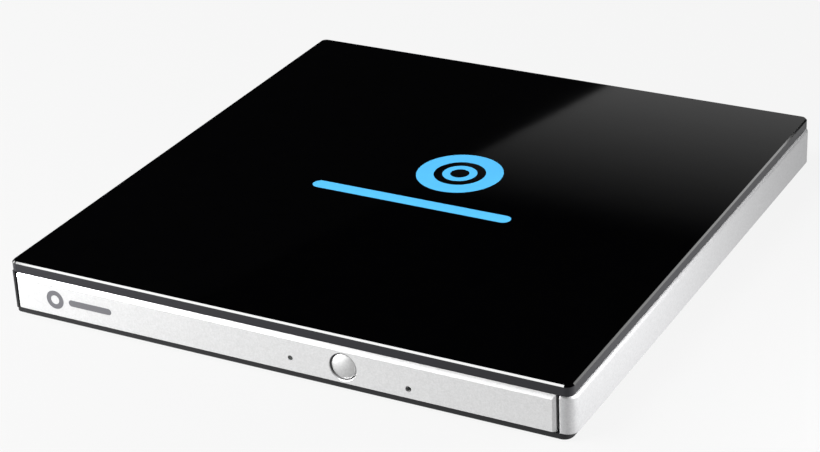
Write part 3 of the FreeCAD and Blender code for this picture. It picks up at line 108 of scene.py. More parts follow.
# Soft boxes: direction from what they light, distance, width, height, power, what they light.
SIDE_LIGHTS = {
    "wedge": ((-0.80, -0.05, 0.48), 0.60, 0.30, 0.30, 5.0, (-0.069, -0.071, 0.0135)),
    "strip": ((-0.4325, -0.874, 0.235), 0.50, 0.50, 0.13, 0.70, (-0.01, -0.07, 0.010)),
    "left_front": ((-0.75, -0.60, 0.26), 0.17, 0.09, 0.07, 0.95, (-0.066, -0.072, 0.008)),
    "right_side": ((0.93, 0.0, 0.36), 0.11, 0.08, 0.06, 0.52, (0.07, -0.040, 0.006)),
    "back_right": ((0.45, 0.78, 0.43), 0.9, 0.30, 0.30, 1.5, (0.06, 0.0, 0.012)),
}
KEY_WAY = (-0.43, -0.45, 0.78)
KEY_DISTANCE = 0.95
KEY_SIZE = (0.46, 0.38)
FLOOR_SIZE = 8.0
FLOOR_DROP = 0.00005
SKY_TO_CAMERA = 0.91

# The card that the lid mirrors: the two lid points between which its edge shows, its size and its fade.
CARD_EDGE = ((0.0160, 0.0715), (-0.0126, -0.0407))
CARD_SIZE = (0.60, 0.62)
CARD_RISE = 0.30
CARD_FADE = 0.62
CARD_FALLOFF = 1.6


# ---- sizes and colours a user would change -------------------------------------------------------
class DriveMarks(bpy.types.PropertyGroup):
    """Printed marks on the lid and on the tray's front."""

    disc_radius: bpy.props.FloatProperty(
        name="Disc mark radius", description="Outer radius of the ring on the lid",
        default=0.0105, unit="LENGTH")
    disc_x: bpy.props.FloatProperty(
        name="Disc mark across", description="Centre of the ring, left to right",
        default=0.004, unit="LENGTH")
    disc_y: bpy.props.FloatProperty(
        name="Disc mark depth", description="Centre of the ring, front to back",
        default=0.0085, unit="LENGTH")
    bar_length: bpy.props.FloatProperty(
        name="Bar length", description="Length of the bar in front of the ring",
        default=0.052, unit="LENGTH")
    bar_width: bpy.props.FloatProperty(
        name="Bar width", description="Width of the bar in front of the ring",
        default=0.0036, unit="LENGTH")
    bar_y: bpy.props.FloatProperty(
        name="Bar depth", description="Centre of the bar, front to back", default=-0.0095, unit="LENGTH")
    ink: bpy.props.FloatProperty(
        name="Ink thickness", description="How far a printed mark stands proud",
        default=0.00002, unit="LENGTH", precision=6)
    lid_colour: bpy.props.FloatVectorProperty(
        name="Lid mark", description="Colour of the mark on the lid",
        default=(0.037, 0.20, 0.36), size=3, min=0.0, max=1.0, subtype="COLOR")
    front_colour: bpy.props.FloatVectorProperty(
        name="Front mark", description="Colour of the mark on the tray's front",
        default=(0.055, 0.055, 0.06), size=3, min=0.0, max=1.0, subtype="COLOR")


class DriveFinishes(bpy.types.PropertyGroup):
    """How the outer surfaces are finished."""

    lid_roughness: bpy.props.FloatProperty(
        name="Lid roughness", description="Roughness of the polished lid", default=0.035, min=0.0, max=1.0)
    paint_roughness: bpy.props.FloatProperty(
        name="Paint roughness", description="Roughness of the satin silver", default=0.36, min=0.0, max=1.0)
    paint_grain: bpy.props.FloatProperty(
        name="Paint grain", description="Size of the flakes in the silver paint",
        default=0.00028, unit="LENGTH", precision=5)


class DriveStudio(bpy.types.PropertyGroup):
    """Camera, floor and lights."""

    azimuth: bpy.props.FloatProperty(
        name="Azimuth", description="Camera's turn to the right of the front",
        default=math.radians(29.029), subtype="ANGLE")
    elevation: bpy.props.FloatProperty(
        name="Elevation", description="Camera's height above the horizon",
        default=math.radians(26.613), subtype="ANGLE")
    roll: bpy.props.FloatProperty(
        name="Roll", description="Camera's tilt about its own axis",
        default=math.radians(-2.7105), subtype="ANGLE")
    distance: bpy.props.FloatProperty(
        name="Distance", description="Camera's distance from its target", default=0.556617, unit="LENGTH")
    target_x: bpy.props.FloatProperty(
        name="Target across", description="Where the camera points, left to right",
        default=-0.006438, unit="LENGTH")
    target_y: bpy.props.FloatProperty(
        name="Target depth", description="Where the camera points, front to back",
        default=0.00194, unit="LENGTH")
    target_z: bpy.props.FloatProperty(
        name="Target height", description="Where the camera points, above the underside",
        default=0.00025, unit="LENGTH")
    lens: bpy.props.FloatProperty(
        name="Lens", description="Focal length in millimetres", default=101.31, min=1.0)
    floor_glow: bpy.props.FloatProperty(
        name="Floor glow", description="Light that the floor gives off by itself", default=0.885, min=0.0)
    key_energy: bpy.props.FloatProperty(
        name="Key light", description="Power of the overhead soft box", default=25.0, subtype="POWER")
    card_glow: bpy.props.FloatProperty(
        name="Reflected card", description="Brightness of the card that the lid mirrors",
        default=0.66, min=0.0)
    card_y: bpy.props.FloatProperty(
        name="Card depth", description="How far behind the drive the card stands",
        default=0.5, unit="LENGTH")
    world_level: bpy.props.FloatProperty(
        name="Surroundings", description="Brightness of the dark studio around", default=0.006, min=0.0)


# ---- shader building -----------------------------------------------------------------------------
class Signal:
    """A number that flows between nodes: arithmetic on it adds Math nodes."""

    def __init__(self, tree, socket):
        self.tree = tree
        self.socket = socket

    def combine(self, operation, first, second=None):
        node = self.tree.nodes.new("ShaderNodeMath")
        node.operation = operation
        for index, value in enumerate((first, second)):
            if isinstance(value, Signal):
                self.tree.links.new(value.socket, node.inputs[index])
            elif value is not None:
                node.inputs[index].default_value = value
        return Signal(self.tree, node.outputs[0])

    def __add__(self, other):
        return self.combine("ADD", self, other)

    __radd__ = __add__

    def __sub__(self, other):
        return self.combine("SUBTRACT", self, other)

    def __rsub__(self, other):
        return self.combine("SUBTRACT", other, self)

    def __mul__(self, other):
        return self.combine("MULTIPLY", self, other)

    __rmul__ = __mul__

    def __truediv__(self, other):
        return self.combine("DIVIDE", self, other)

    def __pow__(self, other):
        return self.combine("POWER", self, other)

    def above(self, edge):
        return self.combine("GREATER_THAN", self, edge)

    def size(self):
        return self.combine("ABSOLUTE", self)

    def clamped(self):
        return self.combine("MINIMUM", self.combine("MAXIMUM", self, 0.0), 1.0)


class Finish:
    """A node material around one Principled shader."""

    def __init__(self, name, **constants):
        self.material = bpy.data.materials.new(name)
        self.material.use_nodes = True
        self.tree = self.material.node_tree
        self.tree.nodes.clear()
        self.output = self.node("ShaderNodeOutputMaterial")
        self.shader = self.node("ShaderNodeBsdfPrincipled", inputs=constants)
        self.tree.links.new(self.shader.outputs["BSDF"], self.output.inputs["Surface"])
        self.place = self.node("ShaderNodeTexCoord").outputs["Object"]

    def node(self, kind, settings=None, inputs=None):
        made = self.tree.nodes.new(kind)
        for key, value in (settings or {}).items():
            setattr(made, key, value)
        for key, value in (inputs or {}).items():
            self.feed(made, key, value)
        return made

    def feed(self, node, key, value):
        socket = node.inputs[key]
        source = value.socket if isinstance(value, Signal) else value
        if isinstance(source, bpy.types.NodeSocket):
            self.tree.links.new(source, socket)
        elif isinstance(source, tuple) and socket.type == "RGBA" and len(source) == 3:
            socket.default_value = (*source, 1.0)
        else:
            socket.default_value = source

    def signal(self, socket):
        return Signal(self.tree, socket)

    def noise(self, size, detail=2.0, stretch=(1.0, 1.0, 1.0)):
        """Soft random blotches about the given size in metres."""
        turned = self.node("ShaderNodeMapping", inputs={"Vector": self.place, "Scale": stretch})
        made = self.node("ShaderNodeTexNoise", inputs={
            "Vector": turned.outputs["Vector"], "Scale": 1.0 / size, "Detail": detail})
        return self.signal(made.outputs["Fac"])

    def cells(self, size):
        """Cells round scattered points, the given size apart."""
        return self.node("ShaderNodeTexVoronoi", inputs={"Vector": self.place, "Scale": 1.0 / size})

    def along(self, axis):
        """One coordinate of the place on the object, in metres."""
        split = self.node("ShaderNodeSeparateXYZ", inputs={"Vector": self.place})
        return self.signal(split.outputs[axis])

    def facing_up(self):
        """1 where the surface faces up or down, 0 where it is upright."""
        split = self.node("ShaderNodeSeparateXYZ",
                          inputs={"Vector": self.node("ShaderNodeNewGeometry").outputs["Normal"]})
        return self.signal(split.outputs["Z"]).size()

    def blend(self, mask, first, second):
        """Goes from the first colour to the second as mask goes from 0 to 1."""
        made = self.node("ShaderNodeMix", settings={"data_type": "RGBA"})
        for index, value in ((0, mask), (6, first), (7, second)):
            self.feed(made, index, value)
        return made.outputs[2]

    def bump(self, height, depth, strength=1.0):
        made = self.node("ShaderNodeBump",
                         inputs={"Height": height, "Distance": depth, "Strength": strength})
        self.feed(self.shader, "Normal", made.outputs["Normal"])

    def colour(self, value):
        self.feed(self.shader, "Base Color", value)

    def roughness(self, value):
        self.feed(self.shader, "Roughness", value)


def tint(colour, factor):
    return tuple(min(1.0, channel * factor) for channel in colour)


def polished_lid(name, colour):
    """Deep black polish with satin, fly-cut edges and the faintest waviness."""
    look = bpy.context.scene.drive_finishes
    made = Finish(name, **{"IOR": 1.49, "Specular IOR Level": 0.26})
    haze = made.noise(0.004, detail=4.0)
    upright = (1.0 - made.facing_up() * 1.6).clamped()
    polish = made.blend(haze, tint(colour, 0.02), tint(colour, 0.035))
    made.colour(made.blend(upright, polish, tint(colour, 0.8)))
    made.roughness(haze * 0.012 + upright * 0.38 + look.lid_roughness)
    made.bump(made.noise(0.012, detail=1.0), 0.000004)
    return made.material


def satin_silver(name, colour, roughness=None, metallic=0.7):
    """Silver paint with fine flakes under a satin clear coat."""
    look = bpy.context.scene.drive_finishes
    base_roughness = roughness or look.paint_roughness
    made = Finish(name, **{"Metallic": metallic})
    flakes = made.signal(made.cells(look.paint_grain).outputs["Color"])
    soft = made.noise(look.paint_grain * 2.6, detail=2.0)
    sheen = (flakes * 0.55 + soft * 0.45).clamped()
    made.colour(made.blend(sheen, tint(colour, 0.86), tint(colour, 1.12)))
    made.roughness(base_roughness + soft * 0.10 - flakes * 0.04)
    made.bump(flakes * 0.5 + soft * 0.5, 0.000012, 0.5)
    return made.material


def moulded(name, colour, roughness=0.5, grain=0.00035, depth=0.00001):
    """Moulded plastic with a fine spark-eroded texture."""
    made = Finish(name, **{"Specular IOR Level": 0.2})
    fine = made.noise(grain, detail=3.0)
    broad = made.noise(0.011, detail=2.0)
    made.colour(made.blend((fine * 0.6 + broad * 0.4).clamped(), tint(colour, 0.78), tint(colour, 1.25)))
    made.roughness(roughness - 0.08 + fine * 0.12 + broad * 0.06)
    made.bump(fine, depth, 0.6)
    return made.material


def rubber(name, colour):
    made = Finish(name, **{"Sheen Weight": 0.08})
    dust = made.noise(0.0009, detail=4.0)
    made.colour(made.blend(dust, tint(colour, 0.8), tint(colour, 1.5)))
    made.roughness(0.74 + dust * 0.14)
    made.bump(dust, 0.00002, 0.5)
    return made.material


def galvanised(name, colour):
    """Zinc-coated sheet with a faint spangle and rolling lines."""
    made = Finish(name, **{"Metallic": 1.0})
    spangle = made.signal(made.cells(0.0032).outputs["Color"])
    rolled = made.noise(0.0006, detail=3.0, stretch=(1.0, 0.03, 1.0))
    made.colour(made.blend((spangle * 0.5 + rolled * 0.5).clamped(), tint(colour, 0.88), tint(colour, 1.1)))
    made.roughness(0.26 + spangle * 0.10 + rolled * 0.10)
    made.bump(rolled, 0.000004, 0.6)
    return made.material


def ground(name, colour, roughness=0.2, line=0.0002):
    """Ground or plated steel with fine lines round the part."""
    made = Finish(name, **{"Metallic": 1.0})
    lines = made.noise(line, detail=4.0, stretch=(1.0, 1.0, 0.08))
    wear = made.noise(0.003, detail=3.0)
    made.colour(made.blend(wear, tint(colour, 0.9), tint(colour, 1.08)))
    made.roughness(roughness + lines * 0.10 + wear * 0.06)
    made.bump(lines, 0.000003, 0.5)
    return made.material


def casting(name, colour):
    made = Finish(name, **{"Metallic": 0.95})
    skin = made.noise(0.0005, detail=5.0)
    stain = made.noise(0.006, detail=2.0)
    made.colour(made.blend(stain, tint(colour, 0.8), tint(colour, 1.1)))
    made.roughness(0.42 + skin * 0.16)
    made.bump(skin, 0.00003, 0.7)
    return made.material


def circuit(name, colour):
    """Green solder mask over copper tracks, with scattered tinned pads."""
    made = Finish(name, **{"Coat Weight": 0.35, "Coat Roughness": 0.12})
    pitch = 0.0011
    across = made.node("ShaderNodeTexWave", settings={"bands_direction": "X"}, inputs={
        "Vector": made.place, "Scale": 0.314 / pitch, "Distortion": 2.2, "Detail": 0.0})
    lengthwise = made.node("ShaderNodeTexWave", settings={"bands_direction": "Y"}, inputs={
        "Vector": made.place, "Scale": 0.22 / pitch, "Distortion": 1.6, "Detail": 0.0})
    zone = made.noise(0.009, detail=0.0).above(0.5)
    tracks = (made.signal(across.outputs["Fac"]).above(0.72) * zone
              + made.signal(lengthwise.outputs["Fac"]).above(0.76) * (1.0 - zone)).clamped()
    pads = 1.0 - made.signal(made.cells(0.0034).outputs["Distance"]).above(0.13)
    masked = made.blend(tracks, tint(colour, 0.8), tint(colour, 1.7))
    made.colour(made.blend(pads, masked, (0.72, 0.70, 0.62)))
    made.feed(made.shader, "Metallic", pads)
    made.roughness(0.38 - tracks * 0.06 - pads * 0.08)
    made.bump(tracks * 0.5 + pads * 0.5, 0.00002, 0.6)
    return made.material


def winding(name, colour):
    """Enamelled copper wire laid turn by turn."""
    made = Finish(name, **{"Metallic": 0.9, "Coat Weight": 0.5})
    turns = made.signal(made.node("ShaderNodeTexWave", settings={"bands_direction": "DIAGONAL"}, inputs={
        "Vector": made.place, "Scale": 2400.0, "Distortion": 0.4, "Detail": 0.0}).outputs["Fac"])
    drift = made.noise(0.002)
    made.colour(made.blend((turns * 0.7 + drift * 0.3).clamped(), tint(colour, 0.45), tint(colour, 1.2)))
    made.roughness(0.34 - turns * 0.1)
    made.bump(turns, 0.00004, 0.8)
    return made.material


def amber_film(name, colour):
    """Polyimide film with parallel copper tracks along its length."""
    made = Finish(name, **{"Coat Weight": 0.4, "Coat Roughness": 0.15})
    tracks = made.signal(made.node("ShaderNodeTexWave", settings={"bands_direction": "X"}, inputs={
        "Vector": made.place, "Scale": 314.0, "Distortion": 0.0}).outputs["Fac"]).above(0.5)
    cloud = made.noise(0.005)
    film = made.blend(cloud, tint(colour, 0.85), tint(colour, 1.15))
    made.colour(made.blend(tracks, film, (0.50, 0.24, 0.07)))
    made.roughness(0.3 + cloud * 0.08)
    made.bump(tracks, 0.00001, 0.7)
    return made.material


def sintered(name, colour):
    made = Finish(name, **{"Metallic": 0.7})
    pits = made.noise(0.0003, detail=5.0)
    made.colour(made.blend(pits, tint(colour, 0.6), tint(colour, 1.3)))
    made.roughness(0.4 + pits * 0.25)
    made.bump(pits, 0.00002, 0.6)
    return made.material


def clear(name, colour, roughness=0.05, ior=1.49):
    made = Finish(name, **{"Transmission Weight": 0.85, "IOR": ior})
    faint = made.noise(0.002)
    made.colour(made.blend(faint, tint(colour, 0.94), tint(colour, 1.04)))
    made.roughness(roughness + faint * 0.03)
    return made.material


def paper_tape(name, colour):
    made = Finish(name)
    fibre = made.noise(0.0006, detail=5.0, stretch=(1.0, 0.25, 1.0))
    made.colour(made.blend(fibre, tint(colour, 0.85), tint(colour, 1.1)))
    made.roughness(0.7 + fibre * 0.15)
    made.bump(fibre, 0.00002, 0.5)
    return made.material


def printed(name, colour, roughness=0.32):
    """Screen-printed ink: even colour with a faint mesh and softer spots."""
    made = Finish(name, **{"Specular IOR Level": 0.4})
    mesh = made.noise(0.00018, detail=2.0)
    broad = made.noise(0.004, detail=2.0)
    made.colour(made.blend((mesh * 0.5 + broad * 0.5).clamped(), tint(colour, 0.93), tint(colour, 1.07)))
    made.roughness(roughness + mesh * 0.08)
    made.bump(mesh, 0.000003, 0.4)
    return made.material


SLOT_FINISHES = {
    "lid_gloss": polished_lid,
    "frame_silver": lambda name, colour: satin_silver(name, (0.345, 0.345, 0.35), 0.5),
    "bezel_silver": lambda name, colour: satin_silver(name, (0.485, 0.485, 0.487)),
    "black_plastic": lambda name, colour: moulded(name, tint(colour, 0.3), 0.45),
    "tray_plastic": moulded,
    "white_plastic": lambda name, colour: moulded(name, colour, 0.42, 0.0006, 0.000005),
    "clear_plastic": lambda name, colour: clear(name, tint(colour, 0.16)),
    "soft_rubber": rubber,
    "tape": paper_tape,
    "sheet_steel": galvanised,
    "bright_steel": ground,
    "screw_steel": lambda name, colour: ground(name, colour, 0.28, 0.00012),
    "zinc_casting": casting,
    "circuit_board": circuit,
    "chip_black": lambda name, colour: moulded(name, colour, 0.46, 0.0002, 0.000006),
    "flex_film": amber_film,
    "magnet": sintered,
    "winding": winding,
    "lens_glass": lambda name, colour: clear(name, colour, 0.01, 1.6),
}


def finish_for(slot):
    """The material of a slot, made once."""
    if slot not in finishes:
        finishes[slot] = SLOT_FINISHES[slot](slot, COLOUR_OF_SLOT[slot])
    return finishes[slot]


# ---- modelling helpers ---------------------------------------------------------------------------
def deselect():
    if bpy.context.mode != "OBJECT":
        bpy.ops.object.mode_set(mode="OBJECT")
    bpy.ops.object.select_all(action="DESELECT")


def edit(select="SELECT", kind="FACE"):
    bpy.ops.object.mode_set(mode="EDIT")
    bpy.ops.mesh.select_mode(type=kind)
    bpy.ops.mesh.select_all(action=select)


def settle(piece, name, body, material):
    """Ends a piece: place and size go into its mesh, and it gets its name, body and material."""
    bpy.ops.object.mode_set(mode="OBJECT")
    deselect()
    piece.select_set(True)
    bpy.context.view_layer.objects.active = piece
    bpy.ops.object.transform_apply(location=True, rotation=True, scale=True)
    bpy.ops.object.shade_smooth_by_angle(angle=SMOOTH_ANGLE)
    piece.name = name
    piece.data.name = name
    piece.data.materials.clear()
    piece.data.materials.append(material)
    if body:
        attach(piece, body)
    return piece


def ink_ring(centre, inner, outer, thickness, normal_y=False):
    """A flat ring. It lies flat, or stands facing -Y."""
    deselect()
    bpy.ops.mesh.primitive_circle_add(vertices=CIRCLE_STEPS, radius=outer, fill_type="NGON",
                                      location=(0, 0, 0))
    piece = bpy.context.active_object
    edit()
    bpy.ops.mesh.inset(thickness=outer - inner)
    bpy.ops.mesh.delete(type="FACE")
    raise_ink(piece, thickness)
    place_ink(piece, centre, normal_y)
    return piece


def ink_bar(centre, length, width, thickness, normal_y=False):
    """A flat bar with round ends."""
    deselect()
    bpy.ops.mesh.primitive_plane_add(size=1.0, location=(0, 0, 0))
    piece = bpy.context.active_object
    edit(kind="VERT")
    bpy.ops.transform.resize(value=(length, width, 1.0))
    bpy.ops.mesh.bevel(offset=width * 0.499, segments=10, affect="VERTICES")
    raise_ink(piece, thickness)
    place_ink(piece, centre, normal_y)
    return piece


def raise_ink(piece, thickness):
    bpy.ops.mesh.select_mode(type="FACE")
    bpy.ops.mesh.select_all(action="SELECT")
    bpy.ops.mesh.extrude_region_move(TRANSFORM_OT_translate={"value": (0, 0, thickness)})
    bpy.ops.mesh.select_all(action="SELECT")
    bpy.ops.mesh.remove_doubles(threshold=MERGE_DISTANCE)
    bpy.ops.mesh.normals_make_consistent(inside=False)
    bpy.ops.object.mode_set(mode="OBJECT")


def place_ink(piece, centre, normal_y):
    if normal_y:
        piece.rotation_euler = (math.radians(90), 0, 0)
    piece.location = centre


def joined(pieces):
    deselect()
    for piece in pieces:
        piece.select_set(True)
    bpy.context.view_layer.objects.active = pieces[0]
    bpy.ops.object.transform_apply(location=True, rotation=True, scale=True)
    bpy.ops.object.join()
    return bpy.context.active_object


def straight(start, end):
    """Evenly spaced (y, z) points from start to end."""
    (y0, z0), (y1, z1) = start, end
    return [(y0 + (y1 - y0) * k / CABLE_STEPS, z0 + (z1 - z0) * k / CABLE_STEPS)
            for k in range(CABLE_STEPS + 1)]


def ribbon(path, x0, x1, thickness):
    """A flat strip of the given thickness that follows (y, z) points, extruded one stretch at a time."""
    (start_y, start_z), (next_y, next_z) = path[:2]
    run, climb = next_y - start_y, next_z - start_z
    deselect()
    bpy.ops.mesh.primitive_plane_add(size=1.0, location=(0, 0, 0))
    piece = bpy.context.active_object
    edit()
    bpy.ops.transform.resize(value=(x1 - x0, math.hypot(run, climb), 1.0))
    bpy.ops.transform.rotate(value=-math.atan2(climb, run), orient_axis="X", center_override=(0, 0, 0))
    bpy.ops.transform.translate(value=((x0 + x1) / 2, start_y + run / 2, start_z + climb / 2))
    edit("DESELECT", "EDGE")
    bpy.ops.object.mode_set(mode="OBJECT")
    for edge in piece.data.edges:
        ends = [piece.data.vertices[index].co for index in edge.vertices]
        edge.select = all(math.hypot(end.y - next_y, end.z - next_z) < 1e-6 for end in ends)
    assert sum(edge.select for edge in piece.data.edges) == 1, "the strip's far edge was not found"
    bpy.ops.object.mode_set(mode="EDIT")
    for (y0, z0), (y1, z1) in zip(path[1:], path[2:]):
        bpy.ops.mesh.extrude_edges_move(TRANSFORM_OT_translate={"value": (0, y1 - y0, z1 - z0)})
    bpy.ops.object.mode_set(mode="OBJECT")
    wall = piece.modifiers.new("thickness", "SOLIDIFY")
    wall.thickness = thickness
    wall.offset = 0.0
    bpy.ops.object.modifier_apply(modifier=wall.name)
    edit()
    bpy.ops.mesh.normals_make_consistent(inside=False)
    return piece


# ---- operators -----------------------------------------------------------------------------------
class DRIVE_OT_finishes(bpy.types.Operator):
    """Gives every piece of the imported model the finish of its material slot"""

    bl_idname = "drive.finishes"
    bl_label = "Finishes"

    def execute(self, context):
        for name, piece in frame["nodes"].items():
            material = finish_for(SLOT_OF_NODE[name])
            piece.data.materials.clear()
            piece.data.materials.append(material)
        dome = frame["nodes"]["eject_button"].data
        dome.materials.clear()
        dome.materials.append(satin_silver("button_silver", (0.43, 0.43, 0.43), 0.42, 0.8))
        return {"FINISHED"}


class DRIVE_OT_lid_mark(bpy.types.Operator):
    """Prints a plain ring and bar on the lid"""

    bl_idname = "drive.lid_mark"
    bl_label = "Lid mark"

    def execute(self, context):
        marks = context.scene.drive_marks
        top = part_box("lid_panel")[1][2]
        radius = marks.disc_radius
        centre = (marks.disc_x, marks.disc_y, top)
        rings = [ink_ring(centre, radius * inner, radius * outer, marks.ink) for inner, outer in LID_RINGS]
        bar = ink_bar((0.0, marks.bar_y, top), marks.bar_length, marks.bar_width, marks.ink)
        blue = printed("lid_ink", tuple(marks.lid_colour))
        settle(joined(rings + [bar]), "lid_mark", "case", blue)
        return {"FINISHED"}


class DRIVE_OT_front_mark(bpy.types.Operator):
    """Prints a plain ring and bar near the left end of the tray's front"""

    bl_idname = "drive.front_mark"
    bl_label = "Front mark"

    def execute(self, context):
        marks = context.scene.drive_marks
        low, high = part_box("tray_bezel")
        face = low[1]
        middle = (low[2] + high[2]) / 2 - FRONT_MARK_DROP
        start = low[0] + FRONT_RING_INSET
        ring = ink_ring((start, face, middle), *FRONT_RING, marks.ink, True)
        bar = ink_bar((start + FRONT_BAR_INSET, face, middle), *FRONT_BAR, marks.ink, True)
        grey = printed("front_ink", tuple(marks.front_colour), 0.4)
        settle(joined([ring, bar]), "front_mark", "tray", grey)
        return {"FINISHED"}


class DRIVE_OT_tray_cable(bpy.types.Operator):
    """Lays the folded flat cable between the main board and the tray"""

    bl_idname = "drive.tray_cable"
    bl_label = "Tray cable"

    def execute(self, context):
        low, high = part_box("tray_flex_cable")
        x0, x1 = low[0], high[0]
        fold_low, fold_high = CABLE_FOLD_Z
        down = straight((CABLE_CASE_Y, CABLE_FLOOR_Z), (CABLE_FOLD_Y, fold_low))
        middle, radius = (fold_low + fold_high) / 2, (fold_high - fold_low) / 2
        turns = [math.pi * k / FOLD_STEPS for k in range(1, FOLD_STEPS)]
        bend = [(CABLE_FOLD_Y - radius * 2.0 * math.sin(turn), middle - radius * math.cos(turn))
                for turn in turns]
        back = straight((CABLE_FOLD_Y, fold_high), (CABLE_TRAY_Y, CABLE_TOP_Z))
        cable = ribbon(down + bend + back + CABLE_RISE, x0, x1, CABLE_THICK)
        film = finish_for("flex_film")
        settle(cable, "tray_cable", None, film)
        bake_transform(cable)
        tail = ribbon(CABLE_TAIL, x0, x1, CABLE_THICK)
        settle(tail, "cable_tail", "case", film)
        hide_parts("tray_flex_cable")
        return {"FINISHED"}


class DRIVE_OT_rating_plate(bpy.types.Operator):
    """Sticks a blank rating plate in the recess under the base"""

    bl_idname = "drive.rating_plate"
    bl_label = "Rating plate"

    def execute(self, context):
        base_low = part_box("base_cover")[0][2]
        deselect()
        bpy.ops.mesh.primitive_plane_add(size=1.0, location=(0, 0, 0))
        plate = bpy.context.active_object
        edit(kind="VERT")
        bpy.ops.transform.resize(value=(*PLATE_SIZE, 1.0))
        bpy.ops.mesh.bevel(offset=PLATE_CORNER, segments=6, affect="VERTICES")
        bpy.ops.mesh.select_mode(type="FACE")
        bpy.ops.mesh.select_all(action="SELECT")
        bpy.ops.mesh.inset(thickness=PLATE_BORDER, depth=0.0)
        bpy.ops.mesh.inset(thickness=PLATE_GROOVE[0], depth=-PLATE_GROOVE[1])
        bpy.ops.object.mode_set(mode="OBJECT")
        wall = plate.modifiers.new("thickness", "SOLIDIFY")
        wall.thickness = PLATE_THICK
        wall.offset = -1.0
        bpy.ops.object.modifier_apply(modifier=wall.name)
        edit()
        bpy.ops.mesh.normals_make_consistent(inside=False)
        bpy.ops.object.mode_set(mode="OBJECT")
        plate.rotation_euler = (math.pi, 0, 0)
        plate.location = (0, 0, base_low + RECESS_DEPTH - PLATE_THICK)
        film = printed("plate_film", (0.16, 0.165, 0.17), 0.3)
        settle(plate, "rating_plate", "case", film)
        return {"FINISHED"}


def soft_box(name, direction, distance, width, height, energy, target):
    """A rectangular light that shines on target from a direction."""
    way = Vector(direction).normalized()
    deselect()
    bpy.ops.object.light_add(type="AREA", location=Vector(target) + way * distance)
    lamp = bpy.context.active_object
    lamp.name = name
    lamp.rotation_euler = way.to_track_quat("Z", "Y").to_euler()
    lamp.data.shape = "RECTANGLE"
    lamp.data.size = width
    lamp.data.size_y = height
    lamp.data.energy = energy


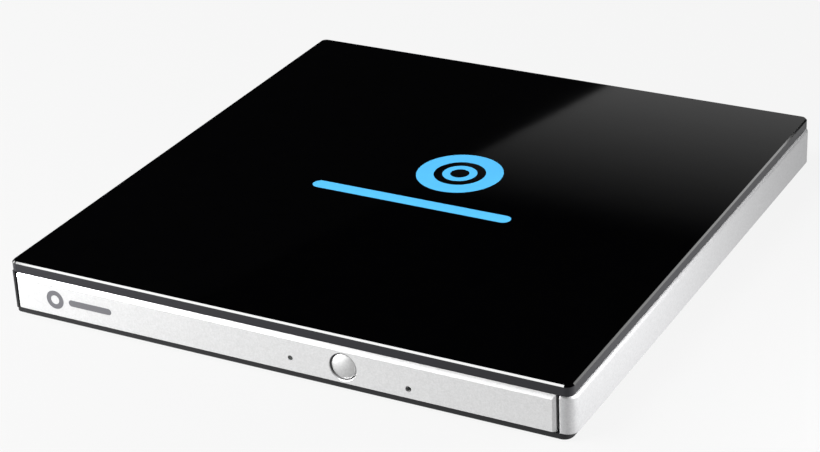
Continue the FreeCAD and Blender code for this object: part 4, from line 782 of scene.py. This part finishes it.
class DRIVE_OT_stage(bpy.types.Operator):
    """Sets the floor, the lights, the dark surroundings and the camera"""

    bl_idname = "drive.stage"
    bl_label = "Stage"

    def execute(self, context):
        studio = context.scene.drive_studio
        self.floor(studio)
        self.surroundings(context, studio)
        self.lights(studio)
        self.card(studio)
        self.camera(context, studio)
        return {"FINISHED"}

    def floor(self, studio):
        deselect()
        bpy.ops.mesh.primitive_plane_add(size=FLOOR_SIZE, location=(0, 0, -FLOOR_DROP))
        floor = bpy.context.active_object
        edit()
        bpy.ops.mesh.subdivide(number_cuts=3)
        bpy.ops.object.mode_set(mode="OBJECT")
        floor.name = "floor"
        paper = Finish("floor_paper", **{"Specular IOR Level": 0.0, "Emission Color": (1.0, 1.0, 1.0)})
        paper.shader.inputs["Emission Strength"].default_value = studio.floor_glow
        mottle = paper.noise(0.4, detail=1.0)
        paper.colour(paper.blend(mottle, (0.012, 0.012, 0.012), (0.014, 0.014, 0.014)))
        paper.roughness(0.9 + mottle * 0.02)
        floor.data.materials.append(paper.material)

    def surroundings(self, context, studio):
        world = bpy.data.worlds.new("studio")
        world.use_nodes = True
        tree = world.node_tree
        tree.nodes.clear()
        paths = tree.nodes.new("ShaderNodeLightPath")
        dark = tree.nodes.new("ShaderNodeBackground")
        dark.inputs["Color"].default_value = (1.0, 1.0, 1.0, 1.0)
        dark.inputs["Strength"].default_value = studio.world_level
        pale = tree.nodes.new("ShaderNodeBackground")
        pale.inputs["Color"].default_value = (SKY_TO_CAMERA, SKY_TO_CAMERA, SKY_TO_CAMERA, 1.0)
        mixed = tree.nodes.new("ShaderNodeMixShader")
        tree.links.new(paths.outputs["Is Camera Ray"], mixed.inputs[0])
        tree.links.new(dark.outputs[0], mixed.inputs[1])
        tree.links.new(pale.outputs[0], mixed.inputs[2])
        out = tree.nodes.new("ShaderNodeOutputWorld")
        tree.links.new(mixed.outputs[0], out.inputs["Surface"])
        context.scene.world = world
        context.scene.view_settings.view_transform = "Standard"

    def lights(self, studio):
        soft_box("key", KEY_WAY, KEY_DISTANCE, *KEY_SIZE, studio.key_energy, (0.0, 0.0, 0.0))
        for name, light in SIDE_LIGHTS.items():
            soft_box(name, *light)

    def eye(self, studio):
        """The camera's own axes and its place."""
        azimuth, elevation, roll = studio.azimuth, studio.elevation, studio.roll
        back = Vector((math.sin(azimuth) * math.cos(elevation), -math.cos(azimuth) * math.cos(elevation),
                       math.sin(elevation)))
        level = Vector((math.cos(azimuth), math.sin(azimuth), 0.0))
        upright = back.cross(level)
        right = level * math.cos(roll) + upright * math.sin(roll)
        up = upright * math.cos(roll) - level * math.sin(roll)
        lid_low, lid_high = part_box("lid_panel")
        depth = studio.target_y + (lid_low[1] + lid_high[1]) / 2
        target = Vector((studio.target_x, depth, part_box("base_cover")[0][2] + studio.target_z))
        return Matrix((right, up, back)).transposed(), target + back * studio.distance

    def camera(self, context, studio):
        turn, place = self.eye(studio)
        deselect()
        bpy.ops.object.camera_add(location=place)
        camera = bpy.context.active_object
        camera.name = "camera"
        camera.rotation_euler = turn.to_euler()
        camera.data.sensor_width = SENSOR_WIDTH
        camera.data.lens = studio.lens
        camera.data.clip_start = 0.01
        context.scene.camera = camera

    def card(self, studio):
        """A tilted card behind the drive. The lid mirrors it, brightest along the lid's back edge."""
        place = self.eye(studio)[1]
        lid_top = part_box("lid_panel")[1][2]
        mirrored = Vector((place.x, place.y, 2 * lid_top - place.z))

        def seen_at(x, y):
            reach = (studio.card_y - mirrored.y) / (y - mirrored.y)
            return mirrored + (Vector((x, y, lid_top)) - mirrored) * reach

        low, high = (seen_at(*point) for point in CARD_EDGE)
        edge = (high - low).normalized()
        wide, tall = CARD_SIZE
        across = Vector((edge.z, 0.0, -edge.x))
        middle = low + edge * (tall * CARD_RISE) + across * (wide / 2)
        deselect()
        bpy.ops.mesh.primitive_plane_add(size=1.0, location=(0, 0, 0))
        card = bpy.context.active_object
        edit()
        bpy.ops.transform.resize(value=(wide, tall, 1.0))
        bpy.ops.transform.rotate(value=math.radians(-90), orient_axis="X", center_override=(0, 0, 0))
        lean = math.atan2(edge.x, edge.z)
        bpy.ops.transform.rotate(value=-lean, orient_axis="Y", center_override=(0, 0, 0))
        bpy.ops.transform.translate(value=middle)
        bpy.ops.object.mode_set(mode="OBJECT")
        card.name = "card"
        cloth = Finish("card_cloth", **{"Base Color": (0.0, 0.0, 0.0, 1.0), "Specular IOR Level": 0.0})
        cloth.shader.inputs["Emission Strength"].default_value = studio.card_glow
        fade = (1.0 - (cloth.along("Z") - low.z) / ((high.z - low.z) * CARD_FADE)).clamped()
        cloth.feed(cloth.shader, "Emission Color",
                   cloth.blend(fade ** CARD_FALLOFF, (0.0, 0.0, 0.0), (1.0, 1.0, 1.0)))
        card.data.materials.append(cloth.material)


class DRIVE_PT_panel(bpy.types.Panel):
    """Lists the steps and the values that they read."""

    bl_idname = "DRIVE_PT_panel"
    bl_label = "Optical drive"
    bl_space_type = "VIEW_3D"
    bl_region_type = "UI"
    bl_category = "Drive"

    def draw(self, context):
        for step in STEPS:
            self.layout.operator(step.bl_idname)
        for group in (context.scene.drive_marks, context.scene.drive_finishes, context.scene.drive_studio):
            box = self.layout.box()
            for name in group.__annotations__:
                box.prop(group, name)


STEPS = (DRIVE_OT_finishes, DRIVE_OT_lid_mark, DRIVE_OT_front_mark, DRIVE_OT_tray_cable,
         DRIVE_OT_rating_plate, DRIVE_OT_stage)
GROUPS = {"drive_marks": DriveMarks, "drive_finishes": DriveFinishes, "drive_studio": DriveStudio}


def register():
    for kind in (*GROUPS.values(), *STEPS, DRIVE_PT_panel):
        bpy.utils.register_class(kind)
    for name, kind in GROUPS.items():
        setattr(bpy.types.Scene, name, bpy.props.PointerProperty(type=kind))


def unregister():
    for name in GROUPS:
        delattr(bpy.types.Scene, name)
    for kind in reversed((*GROUPS.values(), *STEPS, DRIVE_PT_panel)):
        bpy.utils.unregister_class(kind)


def main():
    register()
    bpy.ops.drive.finishes()
    bpy.ops.drive.lid_mark()
    bpy.ops.drive.front_mark()
    bpy.ops.drive.tray_cable()
    bpy.ops.drive.rating_plate()
    bpy.ops.drive.stage()


if __name__ == "__main__":
    main()
